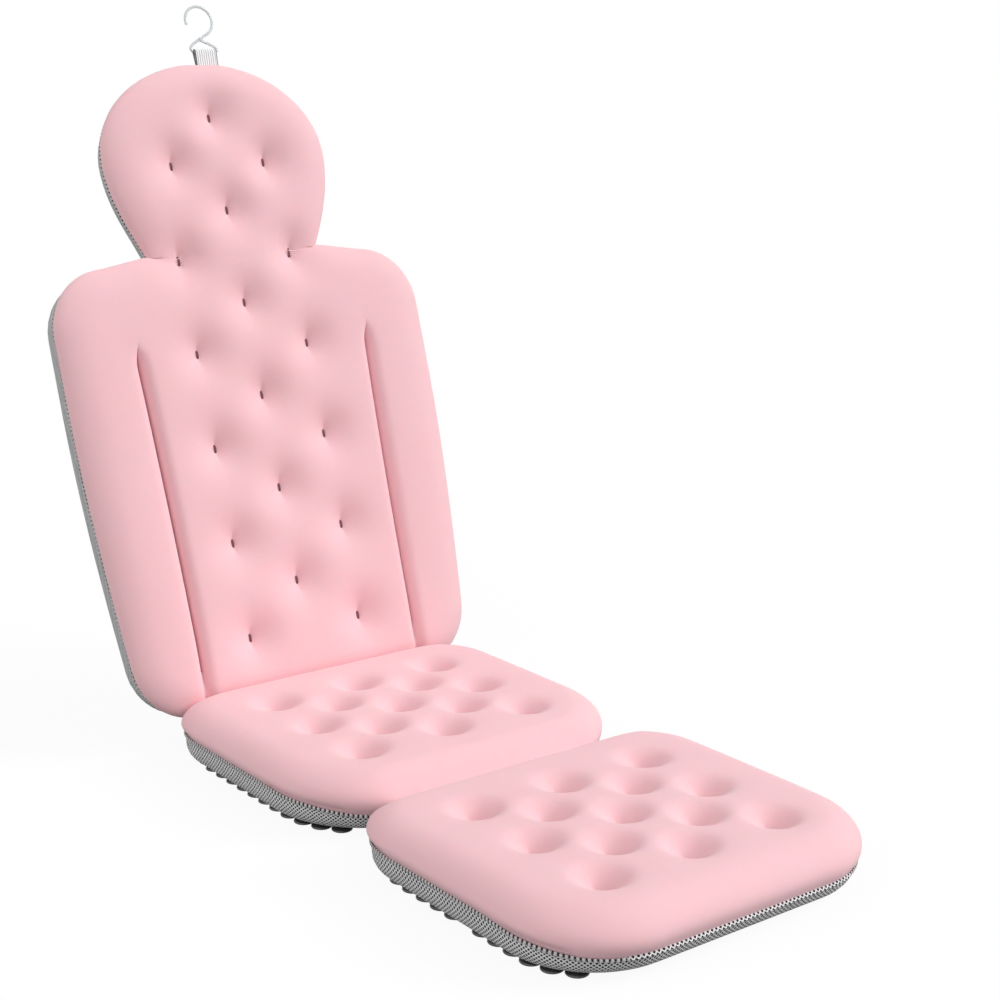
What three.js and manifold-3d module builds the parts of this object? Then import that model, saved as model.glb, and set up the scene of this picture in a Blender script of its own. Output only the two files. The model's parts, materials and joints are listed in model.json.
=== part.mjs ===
// Bath pillow: a back cushion with a head rest, a seat cushion and a leg cushion in one quilted mat. It
// folds at two sewn lines, stands on rows of small suction cups and has a hook to hang it up to dry.
// X runs across the mat, Y from the foot to the head, Z up. Lengths in millimetres, angles in degrees.
import * as THREE from "three";
import { mergeVertices } from "three/addons/utils/BufferGeometryUtils.js";
import Module from "manifold-3d";

const wasm = await Module();
wasm.setup();

// Clearance that touching pieces keep
const clearance = 0.3;

// Cushion plans
const seatLength = 308;
const seatHalfWidth = 173;
const seatFrontCornerRadius = 104;
const seatRearCornerRadius = 64;
const legLength = 309;
const legHalfWidth = 172;
const legFrontCornerRadius = 84;
const legRearCornerRadius = 68;
const backHalfWidth = 206;
const backFootNarrowing = 20; // how much narrower the lower edge is on each side
const backWidening = 320; // length over which the back reaches its full width
const backCornerRadius = 50;
const shoulderHeight = 438; // lower edge of the back to the top of the shoulders
const shoulderRadius = 58;
const neckRise = 9; // shoulders to the neck
const neckHalfWidth = 92;
const headWidestRise = 100; // neck to the widest part of the head
const headHalfWidth = 123.5;
const headTopRise = 93; // widest part to the top of the head
const headTopHalfWidth = 14.4; // straight stretch that the strap is sewn to
const neckHeight = shoulderHeight + neckRise;
const headWidestHeight = neckHeight + headWidestRise;
const backLength = headWidestHeight + headTopRise;

// Cushion section: grey mesh below the seam, pink quilting above it
const seamHeight = 22;
const bottomRounding = 12;
const sideRounding = 14;
const backRearRounding = 6;
const backSideRounding = 7;
const meshThickness = 3;
const rimHeight = 1;
const crownRise = 27;
const backCrownRise = 19;
const crownEdge = 28;
const crownFullness = 2.2; // 2 is an ellipse, more is squarer
const domeRise = 3.5;
const domeReach = 120;

// Folds
const foldGap = 8;
const backLean = 18; // from upright
const foldWebThickness = 0.9;
const foldBeadRadius = 0.8;
const edgeSeamThickness = 1;
const edgeSeamHeight = 3;

// Tufts and sewn channels
const seatTuftAcross = 92;
const seatTuftAlong = 75;
const legTuftAcross = 92;
const legTuftAlong = 80;
const legTuftShift = 8; // towards the foot
const tuftDepth = 15;
const tuftReach = 19;
const backTuftDepth = 13;
const backTuftFirst = 60;
const backTuftPitch = 48;
const backTuftRows = 12;
const backTuftAcross = 64;
const headTuftAcross = 53;
const channelInset = 81; // side of the back to the channel
const channelBow = 8; // how far the channel bows outwards at its upper end
const channelLength = 361;
const channelDepth = 15;
const channelReach = 11;

// Suction cups
const cupHeight = 6;
const cupRadius = 9;
const cupWaistRadius = 3.4;
const cupWall = 0.9;
const cupHollow = 2.6;
const cupPitch = 19.6;
const cupsPerStrip = 6;
const cupInset = 26;
const stripWidth = 13;
const stripThickness = 1.4;
const seatStripGap = 9.8; // middle of the side to the first cup
const legStripGap = 18.5;

// Hanging strap and hook
const strapWidth = 25;
const strapThickness = 1.2;
const strapReach = 20;
const strapSewnLength = 4;
const strapShift = 14; // from the middle of the head
const hookWireRadius = 1.5;
const hookBowRadius = 15.2;
const hookBowHeight = 32.5; // foot bar to the middle of the bow
const hookFootHalf = 15;
const hookShoulderHeight = 6.5;
const hookArmHeight = 4.5;
const hookJoinHeight = 13; // foot bar to where the side arm meets the shank
const hookTipAngle = 190;
const hookShankAngle = -25;

// Smoothness
const edgeSteps = 5;
const rowsPerTuft = 4;
const leastRowGap = 6;
const leastMitreShare = 0.5;
const squareCells = [2, 2, 1]; // columns between the middle, the tufts and the crown's edge
const backCells = [2, 2, 1, 1, 1]; // the same, with the channel and its two sides
const headCells = [2, 5];
const cupSides = 10;
const roundSides = 8;
const hookBowSteps = 9;

const colours = {
  quilting: { color: 0xf3bfc4, roughness: 0.85, metalness: 0 },
  mesh: { color: 0x9c9c9c, roughness: 0.8, metalness: 0 },
  core: { color: 0xeceae6, roughness: 0.9, metalness: 0 },
  edgeSeam: { color: 0x55504f, roughness: 0.8, metalness: 0 },
  cup: { color: 0x4c4d50, roughness: 0.35, metalness: 0 },
  strap: { color: 0xd9d9d6, roughness: 0.8, metalness: 0 },
  hook: { color: 0xe9ebec, roughness: 0.2, metalness: 0 },
};

const radians = THREE.MathUtils.degToRad;
const lerp = THREE.MathUtils.lerp;
const mat = new THREE.Group();
mat.name = "bath_pillow";

function addPiece(name, geometry, finish) {
  const mesh = new THREE.Mesh(geometry, new THREE.MeshStandardMaterial(colours[finish]));
  mesh.name = name;
  mat.add(mesh);
}

// Geometry from a list of points and a list of triangles, with its faces turned outwards
function solidFrom(points, triangles) {
  let volume = 0;
  for (const [a, b, c] of triangles) {
    volume += points[a].dot(points[b].clone().cross(points[c]));
  }
  const geometry = new THREE.BufferGeometry();
  const places = points.flatMap((p) => [p.x, p.y, p.z]);
  geometry.setAttribute("position", new THREE.Float32BufferAttribute(places, 3));
  geometry.setIndex(triangles.flatMap(([a, b, c]) => (volume > 0 ? [a, b, c] : [a, c, b])));
  geometry.computeVertexNormals();
  return geometry;
}

function bare(geometry) {
  const copy = geometry.clone();
  copy.deleteAttribute("normal");
  copy.deleteAttribute("uv");
  return mergeVertices(copy);
}

function fused(geometries) {
  const solids = geometries.map((geometry) => {
    const plain = bare(geometry);
    return new wasm.Manifold(new wasm.Mesh({
      numProp: 3,
      vertProperties: new Float32Array(plain.attributes.position.array),
      triVerts: new Uint32Array(plain.index.array),
    }));
  });
  const result = wasm.Manifold.union(solids).getMesh();
  const geometry = new THREE.BufferGeometry();
  geometry.setAttribute("position", new THREE.Float32BufferAttribute(result.vertProperties, 3));
  geometry.setIndex(Array.from(result.triVerts));
  geometry.computeVertexNormals();
  return geometry;
}

// Solid between a run of closed loops of equal counts: capped at both ends, or turned back on itself
function loft(loops, ring = false) {
  const count = loops[0].length;
  const points = loops.flat();
  const triangles = [];
  const spans = ring ? loops.length : loops.length - 1;
  for (let level = 0; level < spans; level += 1) {
    const low = level * count;
    const high = ((level + 1) % loops.length) * count;
    for (let i = 0; i < count; i += 1) {
      const next = (i + 1) % count;
      triangles.push([low + i, low + next, high + next], [low + i, high + next, high + i]);
    }
  }
  if (!ring) {
    const flat = (loop) => loop.map((p) => new THREE.Vector2(p.x, p.y));
    const last = (loops.length - 1) * count;
    for (const [a, b, c] of THREE.ShapeUtils.triangulateShape(flat(loops[0]), [])) {
      triangles.push([a, c, b]);
    }
    for (const [a, b, c] of THREE.ShapeUtils.triangulateShape(flat(loops.at(-1)), [])) {
      triangles.push([last + a, last + b, last + c]);
    }
  }
  return solidFrom(points, triangles);
}

// Half width of a rounded rectangle at a distance from its nearer end
function roundedHalfWidth(fromEnd, halfWidth, radius) {
  const rest = Math.max(0, radius - fromEnd);
  return halfWidth - radius + Math.sqrt(radius ** 2 - rest ** 2);
}

// Half width of the back between its rounded corners
function backSideAt(height) {
  const grown = Math.sin(Math.min(1, height / backWidening) * Math.PI / 2);
  return backHalfWidth - backFootNarrowing * (1 - grown);
}

// Half width of the back at a height above its lower edge: body, shoulders, neck and head
function backHalfWidthAt(height) {
  if (height > headWidestHeight) {
    const topShare = Math.sqrt(1 - (headTopHalfWidth / headHalfWidth) ** 2);
    const rise = ((height - headWidestHeight) / headTopRise) * topShare;
    return headHalfWidth * Math.sqrt(1 - rise ** 2);
  }
  if (height >= neckHeight) {
    const share = (height - neckHeight) / (headWidestHeight - neckHeight);
    return lerp(neckHalfWidth, headHalfWidth, Math.sin(share * Math.PI / 2));
  }
  if (height > shoulderHeight / 2) {
    return roundedHalfWidth(Math.max(0, shoulderHeight - height), backSideAt(height), shoulderRadius);
  }
  return roundedHalfWidth(height, backSideAt(height), backCornerRadius);
}

// Distance of the channels from the middle of the back
function channelAt(height) {
  return backHalfWidth - channelInset + channelBow * Math.min(1, height / channelLength) ** 2;
}

// Steps that close up towards an edge, as the crown steepens there
function edgePlaces(reach) {
  const angles = Array.from({ length: edgeSteps + 1 }, (_, i) => (i / edgeSteps) * Math.PI / 2);
  return angles.map((angle) => reach * (1 - Math.cos(angle)));
}

function evenPlaces(from, to, step) {
  const count = Math.max(1, Math.round((to - from) / step));
  return Array.from({ length: count + 1 }, (_, i) => lerp(from, to, i / count));
}

// Places a step apart on both sides of a start, kept clear of both limits
function placesAround(start, step, low, high) {
  const first = Math.ceil((low + leastRowGap - start) / step);
  const last = Math.floor((high - leastRowGap - start) / step);
  return Array.from({ length: Math.max(0, last - first + 1) }, (_, i) => start + (first + i) * step);
}

// Columns across a row as shares of its half width: even between anchors, closer together at the edge
function columnShares(anchors, cells, halfWidth) {
  const inner = anchors.slice(1).flatMap((anchor, i) => {
    return evenPlaces(anchors[i], anchor, (anchor - anchors[i]) / cells[i]).slice(1);
  });
  const outer = edgePlaces(crownEdge).reverse().map((inset) => halfWidth - inset).slice(1);
  const right = [...inner, ...outer].map((x) => x / halfWidth);
  return [...right.map((share) => -share).reverse(), 0, ...right];
}

// Three rows of three tufts with four more between them
function squareTufts(across, along, middle) {
  const tufts = [];
  for (const row of [-1, 0, 1]) {
    for (const column of [-1, 0, 1]) {
      tufts.push({ x: column * across, y: middle + row * along, depth: tuftDepth });
    }
  }
  for (const row of [-1, 1]) {
    for (const column of [-1, 1]) {
      tufts.push({ x: column * across / 2, y: middle + row * along / 2, depth: tuftDepth });
    }
  }
  return tufts;
}

// Pairs of tufts up the back and the head, with single ones between them
function backTufts() {
  const tufts = [];
  for (let row = 0; row < backTuftRows; row += 1) {
    const y = backTuftFirst + row * backTuftPitch;
    const across = y > neckHeight ? headTuftAcross : backTuftAcross;
    const columns = row % 2 === 0 ? [-1, 1] : [0];
    columns.forEach((column) => tufts.push({ x: column * across, y, depth: backTuftDepth }));
  }
  return tufts;
}

// One cushion: its plan, its rows of points and its tufts, measured from its end at y = 0
function squareCushion(length, halfWidth, frontRadius, rearRadius, across, along, tuftMiddle, foldEnds) {
  const ends = edgePlaces(crownEdge);
  const shares = columnShares([0, across / 2, across, halfWidth - crownEdge], squareCells, halfWidth);
  return {
    length,
    foldEnds,
    crownRise,
    bottomRounding,
    sideRounding,
    halfWidthAt: (y) => {
      if (y < length / 2) return roundedHalfWidth(y, halfWidth, frontRadius);
      return roundedHalfWidth(length - y, halfWidth, rearRadius);
    },
    rows: [
      ...ends,
      ...placesAround(tuftMiddle, along / rowsPerTuft, crownEdge, length - crownEdge),
      ...ends.map((y) => length - y).reverse(),
    ],
    sharesAt: () => shares,
    tufts: squareTufts(across, along, tuftMiddle),
    hasChannels: false,
  };
}

function backCushion() {
  const ends = edgePlaces(crownEdge);
  const step = backTuftPitch / 2;
  const headShares = columnShares([0, headTuftAcross, headHalfWidth - crownEdge], headCells, headHalfWidth);
  const bodyShares = (y) => {
    const side = backSideAt(y);
    const channel = channelAt(y);
    const beside = [channel - channelReach, channel, channel + channelReach];
    return columnShares([0, backTuftAcross, ...beside, side - crownEdge], backCells, side);
  };
  return {
    length: backLength,
    foldEnds: [0],
    crownRise: backCrownRise,
    bottomRounding: backRearRounding,
    sideRounding: backSideRounding,
    halfWidthAt: backHalfWidthAt,
    rows: [
      ...ends,
      ...placesAround(backTuftFirst, step, crownEdge, shoulderHeight - crownEdge),
      ...ends.map((y) => shoulderHeight - y).reverse(),
      neckHeight,
      ...placesAround(backTuftFirst, step, neckHeight, backLength - crownEdge),
      ...ends.map((y) => backLength - y).reverse(),
    ],
    sharesAt: (y) => (y >= neckHeight ? headShares : bodyShares(y)),
    tufts: backTufts(),
    hasChannels: true,
  };
}

// Outline of a cushion through the ends of its rows, moved inwards by a distance, as points at one height
function outline(cushion, inset, z) {
  const right = cushion.rows.map((y) => new THREE.Vector2(cushion.halfWidthAt(y), y));
  const left = right.map((p) => new THREE.Vector2(-p.x, p.y)).reverse();
  const loop = [...right, ...left];
  return loop.map((point, i) => {
    const before = loop[(i + loop.length - 1) % loop.length];
    const after = loop[(i + 1) % loop.length];
    const into = point.clone().sub(before).normalize();
    const out = after.clone().sub(point).normalize();
    const normal = new THREE.Vector2(-into.y - out.y, into.x + out.x).normalize();
    const mitre = Math.abs(normal.dot(new THREE.Vector2(-into.y, into.x)));
    const reach = inset / Math.max(leastMitreShare, mitre);
    return new THREE.Vector3(point.x + normal.x * reach, point.y + normal.y * reach, z);
  });
}

function distanceToLoop(x, y, loop) {
  let least = Infinity;
  loop.forEach((start, i) => {
    const end = loop[(i + 1) % loop.length];
    const dx = end.x - start.x;
    const dy = end.y - start.y;
    const share = ((x - start.x) * dx + (y - start.y) * dy) / (dx * dx + dy * dy);
    const along = THREE.MathUtils.clamp(share, 0, 1);
    least = Math.min(least, Math.hypot(x - start.x - along * dx, y - start.y - along * dy));
  });
  return least;
}

// Height of the quilting over its rim: a full crown with a low dome, dimples at the tufts and grooves at
// the channels, cut back at half a right angle where a fold closes
function quiltingHeight(cushion, loop, x, y) {
  const fromEdge = distanceToLoop(x, y, loop);
  const rest = 1 - Math.min(1, fromEdge / crownEdge);
  const edge = (1 - rest ** crownFullness) ** (1 / crownFullness);
  const dome = Math.sin(Math.min(1, fromEdge / domeReach) * Math.PI / 2);
  const fromFold = Math.min(...cushion.foldEnds.map((end) => Math.abs(y - end)));
  const bevel = fromFold + foldGap / 2 - rimHeight - 2 * clearance;
  let height = Math.min(cushion.crownRise * edge + domeRise * dome, bevel);
  for (const tuft of cushion.tufts) {
    height -= tuft.depth * Math.exp(-(((x - tuft.x) ** 2 + (y - tuft.y) ** 2) / tuftReach ** 2)) * edge;
  }
  if (cushion.hasChannels) {
    const beyond = Math.max(0, y - channelLength) / channelReach;
    const beside = Math.abs(Math.abs(x) - channelAt(y)) / channelReach;
    height -= channelDepth * Math.exp(-beside - beyond ** 2) * edge;
  }
  return Math.max(0, height);
}

// Quilted top: a grid of rows and columns over a flat underside, joined by the low rim in the seam
function quiltedTop(cushion) {
  const loop = outline(cushion, 0, 0);
  const low = seamHeight + clearance / 2;
  const grid = cushion.rows.map((y) => cushion.sharesAt(y).map((share) => {
    const x = share * cushion.halfWidthAt(y);
    return new THREE.Vector3(x, y, low + rimHeight + quiltingHeight(cushion, loop, x, y));
  }));
  const columns = grid[0].length;
  const rows = grid.length;
  const index = (row, column) => row * columns + column;
  const points = grid.flat();
  const triangles = [];
  for (let row = 0; row + 1 < rows; row += 1) {
    for (let column = 0; column + 1 < columns; column += 1) {
      const near = index(row, column);
      const far = index(row + 1, column);
      const rising = Math.abs(points[near].z - points[far + 1].z);
      if (rising < Math.abs(points[near + 1].z - points[far].z)) {
        triangles.push([near, near + 1, far + 1], [near, far + 1, far]);
      } else {
        triangles.push([near, near + 1, far], [near + 1, far + 1, far]);
      }
    }
  }
  const border = [];
  for (let column = 0; column < columns; column += 1) border.push(index(0, column));
  for (let row = 1; row < rows; row += 1) border.push(index(row, columns - 1));
  for (let column = columns - 2; column >= 0; column -= 1) border.push(index(rows - 1, column));
  for (let row = rows - 2; row > 0; row -= 1) border.push(index(row, 0));
  const first = points.length;
  border.forEach((top) => points.push(new THREE.Vector3(points[top].x, points[top].y, low)));
  border.forEach((top, i) => {
    const next = (i + 1) % border.length;
    triangles.push([first + i, first + next, border[next]], [first + i, border[next], top]);
  });
  const plan = border.map((top) => new THREE.Vector2(points[top].x, points[top].y));
  for (const [a, b, c] of THREE.ShapeUtils.triangulateShape(plan, [])) {
    triangles.push([first + a, first + c, first + b]);
  }
  return solidFrom(points, triangles);
}

// Rounded section of the mesh base or of the core in it, from the flat underside up to the seam
function sideSection(cushion, wall, top) {
  const places = [];
  for (let step = 0; step <= edgeSteps - 1; step += 1) {
    const angle = (step / (edgeSteps - 1)) * Math.PI / 2;
    places.push([
      cushion.bottomRounding - (cushion.bottomRounding - wall) * Math.sin(angle),
      cushion.sideRounding - (cushion.sideRounding - wall) * Math.cos(angle),
    ]);
  }
  places.push([wall, top]);
  return places;
}

function meshBase(cushion) {
  const top = seamHeight - clearance / 2;
  const outside = sideSection(cushion, 0, top);
  const inside = sideSection(cushion, meshThickness, top).reverse();
  return loft([...outside, ...inside].map(([inset, z]) => outline(cushion, inset, z)));
}

function core(cushion) {
  const section = sideSection(cushion, meshThickness + clearance, seamHeight - clearance / 2);
  return loft(section.map(([inset, z]) => outline(cushion, inset, z)));
}

// Thin overlocked band that holds the quilting and the mesh together around the seam
function edgeSeam(cushion) {
  const near = -clearance;
  const far = -clearance - edgeSeamThickness;
  const low = seamHeight - edgeSeamHeight / 2;
  const high = seamHeight + edgeSeamHeight / 2;
  const section = [[near, low], [far, low], [far, high], [near, high]];
  return loft(section.map(([inset, z]) => outline(cushion, inset, z)), true);
}

// Solid through a run of four-cornered sections
function capped(sections) {
  const triangles = [[0, 2, 1], [0, 3, 2]];
  for (let i = 0; i + 1 < sections.length; i += 1) {
    for (let corner = 0; corner < 4; corner += 1) {
      const next = (corner + 1) % 4;
      const low = i * 4;
      const high = low + 4;
      triangles.push([low + corner, low + next, high + next], [low + corner, high + next, high + corner]);
    }
  }
  const last = (sections.length - 1) * 4;
  triangles.push([last, last + 1, last + 2], [last, last + 2, last + 3]);
  return solidFrom(sections.flat(), triangles);
}

// Path under one side of a cushion, from the middle of the side towards one end
function cupPath(cushion, side, end) {
  const half = cushion.rows.length;
  const loop = outline(cushion, cupInset, 0).slice(0, half);
  const middleY = cushion.length / 2;
  const middle = new THREE.Vector3(cushion.halfWidthAt(middleY) - cupInset, middleY, 0);
  const beyond = loop.filter((p) => (p.y - middleY) * end > 0);
  if (end < 0) beyond.reverse();
  return [middle, ...beyond].map((p) => new THREE.Vector3(p.x * side, p.y, 0));
}

function pointAlong(path, distance) {
  let left = distance;
  for (let i = 0; i + 1 < path.length; i += 1) {
    const span = path[i].distanceTo(path[i + 1]);
    if (left <= span || i + 2 === path.length) return path[i].clone().lerp(path[i + 1], left / span);
    left -= span;
  }
  return path[0];
}

// Moulded strip of suction cups: a thin band on the mesh with hollow cups below it
function cupStrip(cushion, side, end, gap) {
  const path = cupPath(cushion, side, end);
  const bandTop = -clearance;
  const bandLow = bandTop - stripThickness;
  const inBand = bandLow + stripThickness / 2;
  const profile = [
    [cupRadius - cupWall, -cupHeight],
    [cupRadius, -cupHeight],
    [cupWaistRadius, bandLow - cupWall],
    [cupWaistRadius, inBand],
    [0, inBand],
    [0, cupHollow - cupHeight],
  ].map(([x, y]) => new THREE.Vector2(x, y));
  const cups = Array.from({ length: cupsPerStrip }, (_, i) => {
    const place = pointAlong(path, gap + i * cupPitch);
    const cup = new THREE.LatheGeometry([...profile, profile[0]], cupSides);
    return cup.rotateX(Math.PI / 2).translate(place.x, place.y, 0);
  });
  const reach = gap + (cupsPerStrip - 1) * cupPitch + cupRadius;
  const places = evenPlaces(gap - cupRadius, reach, cupPitch / 2);
  const sections = places.map((place) => {
    const middle = pointAlong(path, place);
    const before = pointAlong(path, place - cupWaistRadius);
    const ahead = pointAlong(path, place + cupWaistRadius).sub(before).normalize();
    const across = new THREE.Vector3(-ahead.y, ahead.x, 0).multiplyScalar(stripWidth / 2);
    return [[-1, bandLow], [1, bandLow], [1, bandTop], [-1, bandTop]]
      .map(([share, z]) => middle.clone().addScaledVector(across, share).setZ(z));
  });
  return fused([capped(sections), ...cups]);
}

// Sewn web of a fold: a strip from the edge seam to the bead of stitches that the mat folds about
function foldWeb(halfLength, withBead) {
  const outer = foldGap / 2 - 2 * clearance - edgeSeamThickness;
  const half = foldWebThickness / 2;
  const inner = withBead ? 0 : foldBeadRadius + clearance;
  const section = [[-outer, -half], [-inner, -half], [-inner, half], [-outer, half]];
  const web = new THREE.Shape(section.map(([y, z]) => new THREE.Vector2(y, z)));
  const run = { depth: 2 * halfLength, bevelEnabled: false, curveSegments: roundSides };
  const pieces = [new THREE.ExtrudeGeometry(web, run)];
  if (withBead) {
    const bead = new THREE.Shape().absarc(0, 0, foldBeadRadius, 0, 2 * Math.PI);
    pieces.push(new THREE.ExtrudeGeometry(bead, run));
  }
  const toLength = new THREE.Matrix4().makeBasis(
    new THREE.Vector3(0, 1, 0), new THREE.Vector3(0, 0, 1), new THREE.Vector3(1, 0, 0),
  );
  return fused(pieces).applyMatrix4(toLength).translate(-halfLength, 0, 0);
}

// Webbing loop sewn into the seam at the top of the head, around the foot bar of the hook
function hangingStrap() {
  const inner = hookWireRadius + clearance;
  const outer = inner + strapThickness;
  const foot = strapReach - 2 * clearance - edgeSeamThickness;
  const loop = new THREE.Shape();
  loop.absarc(0, 0, outer, 0, Math.PI);
  loop.lineTo(-strapThickness, -foot);
  loop.lineTo(strapThickness, -foot);
  loop.closePath();
  const hole = new THREE.Path();
  hole.absarc(0, 0, inner, 0, Math.PI);
  hole.lineTo(0, strapSewnLength - foot);
  hole.closePath();
  loop.holes.push(hole);
  const run = { depth: strapWidth, bevelEnabled: false, curveSegments: roundSides };
  const strap = new THREE.ExtrudeGeometry(loop, run);
  const toStrap = new THREE.Matrix4().makeBasis(
    new THREE.Vector3(0, 0, 1), new THREE.Vector3(0, 1, 0), new THREE.Vector3(-1, 0, 0),
  );
  return bare(strap.applyMatrix4(toStrap).translate(strapWidth / 2, 0, 0));
}

// Moulded hook: a bow, a slanted shank, the foot bar in the strap and a side arm back to the shank
function hangingHook() {
  const bowTurn = hookShankAngle - hookTipAngle;
  const bowAngles = evenPlaces(hookTipAngle, hookShankAngle, bowTurn / hookBowSteps);
  const bow = bowAngles.map((angle) => new THREE.Vector3(
    hookBowRadius * Math.cos(radians(angle)),
    hookBowHeight + hookBowRadius * Math.sin(radians(angle)),
    0,
  ));
  const tip = bow[0];
  const lead = bow.at(-1);
  const left = new THREE.Vector3(-hookFootHalf, 0, 0);
  const right = new THREE.Vector3(hookFootHalf, 0, 0);
  const shoulder = new THREE.Vector3(-hookFootHalf, hookShoulderHeight, 0);
  const join = lead.clone().lerp(shoulder, (lead.y - hookJoinHeight) / (lead.y - shoulder.y));
  const section = new THREE.Shape().absarc(0, 0, hookWireRadius, 0, 2 * Math.PI);
  const tube = (path, steps) => {
    return new THREE.ExtrudeGeometry(section, { steps, curveSegments: roundSides / 2, extrudePath: path });
  };
  const arm = new THREE.Vector3(hookFootHalf, hookArmHeight, 0);
  const rods = [[lead, shoulder], [shoulder, left], [left, right], [right, arm], [arm, join]]
    .map(([from, to]) => tube(new THREE.LineCurve3(from, to), 1));
  const ends = [tip, lead, shoulder, left, right, arm].map((place) => {
    const ball = new THREE.SphereGeometry(hookWireRadius, roundSides, roundSides / 2);
    return ball.translate(place.x, place.y, place.z);
  });
  return fused([tube(new THREE.CatmullRomCurve3(bow), hookBowSteps * 2), ...rods, ...ends]);
}

// Builds the pieces of one cushion and lays them in place
function addCushion(name, cushion, matrix, stripGap) {
  const laid = (geometry) => geometry.applyMatrix4(matrix);
  addPiece(`${name}_cushion_top`, laid(quiltedTop(cushion)), "quilting");
  addPiece(`${name}_core`, laid(core(cushion)), "core");
  addPiece(`${name}_mesh_base`, laid(meshBase(cushion)), "mesh");
  addPiece(`${name}_edge_seam`, laid(edgeSeam(cushion)), "edgeSeam");
  if (stripGap) {
    for (const [sideName, side] of [["left", -1], ["right", 1]]) {
      for (const [endName, end] of [["front", -1], ["rear", 1]]) {
        const strip = laid(cupStrip(cushion, side, end, stripGap));
        addPiece(`${name}_cups_${sideName}_${endName}`, strip, "cup");
      }
    }
  }
}

const seatCorners = [seatFrontCornerRadius, seatRearCornerRadius];
const seatTufts = [seatTuftAcross, seatTuftAlong, seatLength / 2];
const seat = squareCushion(seatLength, seatHalfWidth, ...seatCorners, ...seatTufts, [0, seatLength]);
const legCorners = [legFrontCornerRadius, legRearCornerRadius];
const legTufts = [legTuftAcross, legTuftAlong, legLength / 2 - legTuftShift];
const leg = squareCushion(legLength, legHalfWidth, ...legCorners, ...legTufts, [legLength]);
const back = backCushion();

// The back fold lies at y = 0 and the leg fold one seat length nearer the foot, both level with the seams
const backFoldPlace = new THREE.Vector3(0, 0, cupHeight + seamHeight);
const legFoldPlace = new THREE.Vector3(0, -seatLength - foldGap, cupHeight + seamHeight);
const seatMatrix = new THREE.Matrix4().makeTranslation(0, -seatLength - foldGap / 2, cupHeight);
const legEnd = legFoldPlace.y - foldGap / 2 - legLength;
const legMatrix = new THREE.Matrix4().makeTranslation(0, legEnd, cupHeight);
const backTurn = new THREE.Matrix4().makeRotationX(radians(90 - backLean));
const backMatrix = new THREE.Matrix4().makeTranslation(backFoldPlace.x, backFoldPlace.y, backFoldPlace.z)
  .multiply(backTurn)
  .multiply(new THREE.Matrix4().makeTranslation(0, foldGap / 2, -seamHeight));

addCushion("seat", seat, seatMatrix, seatStripGap);
addCushion("leg", leg, legMatrix, legStripGap);
addCushion("back", back, backMatrix, 0);

// Each fold runs along the straight part of the seat's end
const backFoldHalf = seatHalfWidth - seatRearCornerRadius;
const legFoldHalf = Math.min(seatHalfWidth - seatFrontCornerRadius, legHalfWidth - legRearCornerRadius);
const turnedAway = new THREE.Matrix4().makeRotationX(radians(180));
const atBackFold = new THREE.Matrix4().makeTranslation(backFoldPlace.x, backFoldPlace.y, backFoldPlace.z);
const atLegFold = new THREE.Matrix4().makeTranslation(legFoldPlace.x, legFoldPlace.y, legFoldPlace.z);
addPiece("back_fold_web", foldWeb(backFoldHalf, true).applyMatrix4(atBackFold), "quilting");
const backLeafMatrix = atBackFold.clone().multiply(backTurn).multiply(turnedAway);
addPiece("back_fold_leaf", foldWeb(backFoldHalf, false).applyMatrix4(backLeafMatrix), "quilting");
const legWebMatrix = atLegFold.clone().multiply(turnedAway);
addPiece("leg_fold_web", foldWeb(legFoldHalf, true).applyMatrix4(legWebMatrix), "quilting");
addPiece("leg_fold_leaf", foldWeb(legFoldHalf, false).applyMatrix4(atLegFold), "quilting");

// The strap stands on the seam at the top of the head and holds the foot bar of the hook
const barPlace = new THREE.Matrix4().makeTranslation(strapShift, backLength + strapReach, seamHeight);
const barMatrix = backMatrix.clone().multiply(barPlace);
addPiece("hanging_strap", hangingStrap().applyMatrix4(barMatrix), "strap");
addPiece("hanging_hook", hangingHook().applyMatrix4(barMatrix), "hook");

// The mat is centred over its floor: the origin is the middle of the bounding box, at the rims of the cups
const box = new THREE.Box3().setFromObject(mat);
const toOrigin = new THREE.Vector3(0, -(box.min.y + box.max.y) / 2, -box.min.z);
mat.traverse((piece) => {
  if (piece.isMesh) piece.geometry.translate(toOrigin.x, toOrigin.y, toOrigin.z);
});

export default mat;
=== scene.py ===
"""Bath pillow: back and head rest, seat and leg rest, in quilted pink fabric over grey air mesh.

It folds between the three cushions, stands on strips of suction cups and has a hook to hang it up to dry.
"""
import json

import bpy
import numpy as np
from mathutils import Matrix, Vector


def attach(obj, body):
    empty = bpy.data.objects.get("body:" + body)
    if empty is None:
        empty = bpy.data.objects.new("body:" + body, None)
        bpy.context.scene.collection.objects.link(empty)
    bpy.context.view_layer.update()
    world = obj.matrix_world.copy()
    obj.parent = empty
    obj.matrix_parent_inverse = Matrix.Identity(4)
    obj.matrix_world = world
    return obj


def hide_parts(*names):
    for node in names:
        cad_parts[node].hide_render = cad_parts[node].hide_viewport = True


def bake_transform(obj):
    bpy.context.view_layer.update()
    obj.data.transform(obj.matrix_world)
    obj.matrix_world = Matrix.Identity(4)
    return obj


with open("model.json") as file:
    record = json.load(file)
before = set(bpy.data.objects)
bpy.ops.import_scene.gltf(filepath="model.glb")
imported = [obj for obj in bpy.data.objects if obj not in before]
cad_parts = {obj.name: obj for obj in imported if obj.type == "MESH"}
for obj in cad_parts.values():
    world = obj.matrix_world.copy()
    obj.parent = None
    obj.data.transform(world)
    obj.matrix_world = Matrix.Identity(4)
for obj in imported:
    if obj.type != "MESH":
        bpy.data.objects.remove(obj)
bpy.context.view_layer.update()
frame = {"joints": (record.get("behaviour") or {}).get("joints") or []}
scene = bpy.context.scene
scene.view_settings.view_transform = "Standard"

# Camera
# A long lens a little above the mat, seen from its left and from the foot, as the photograph was taken.

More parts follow.
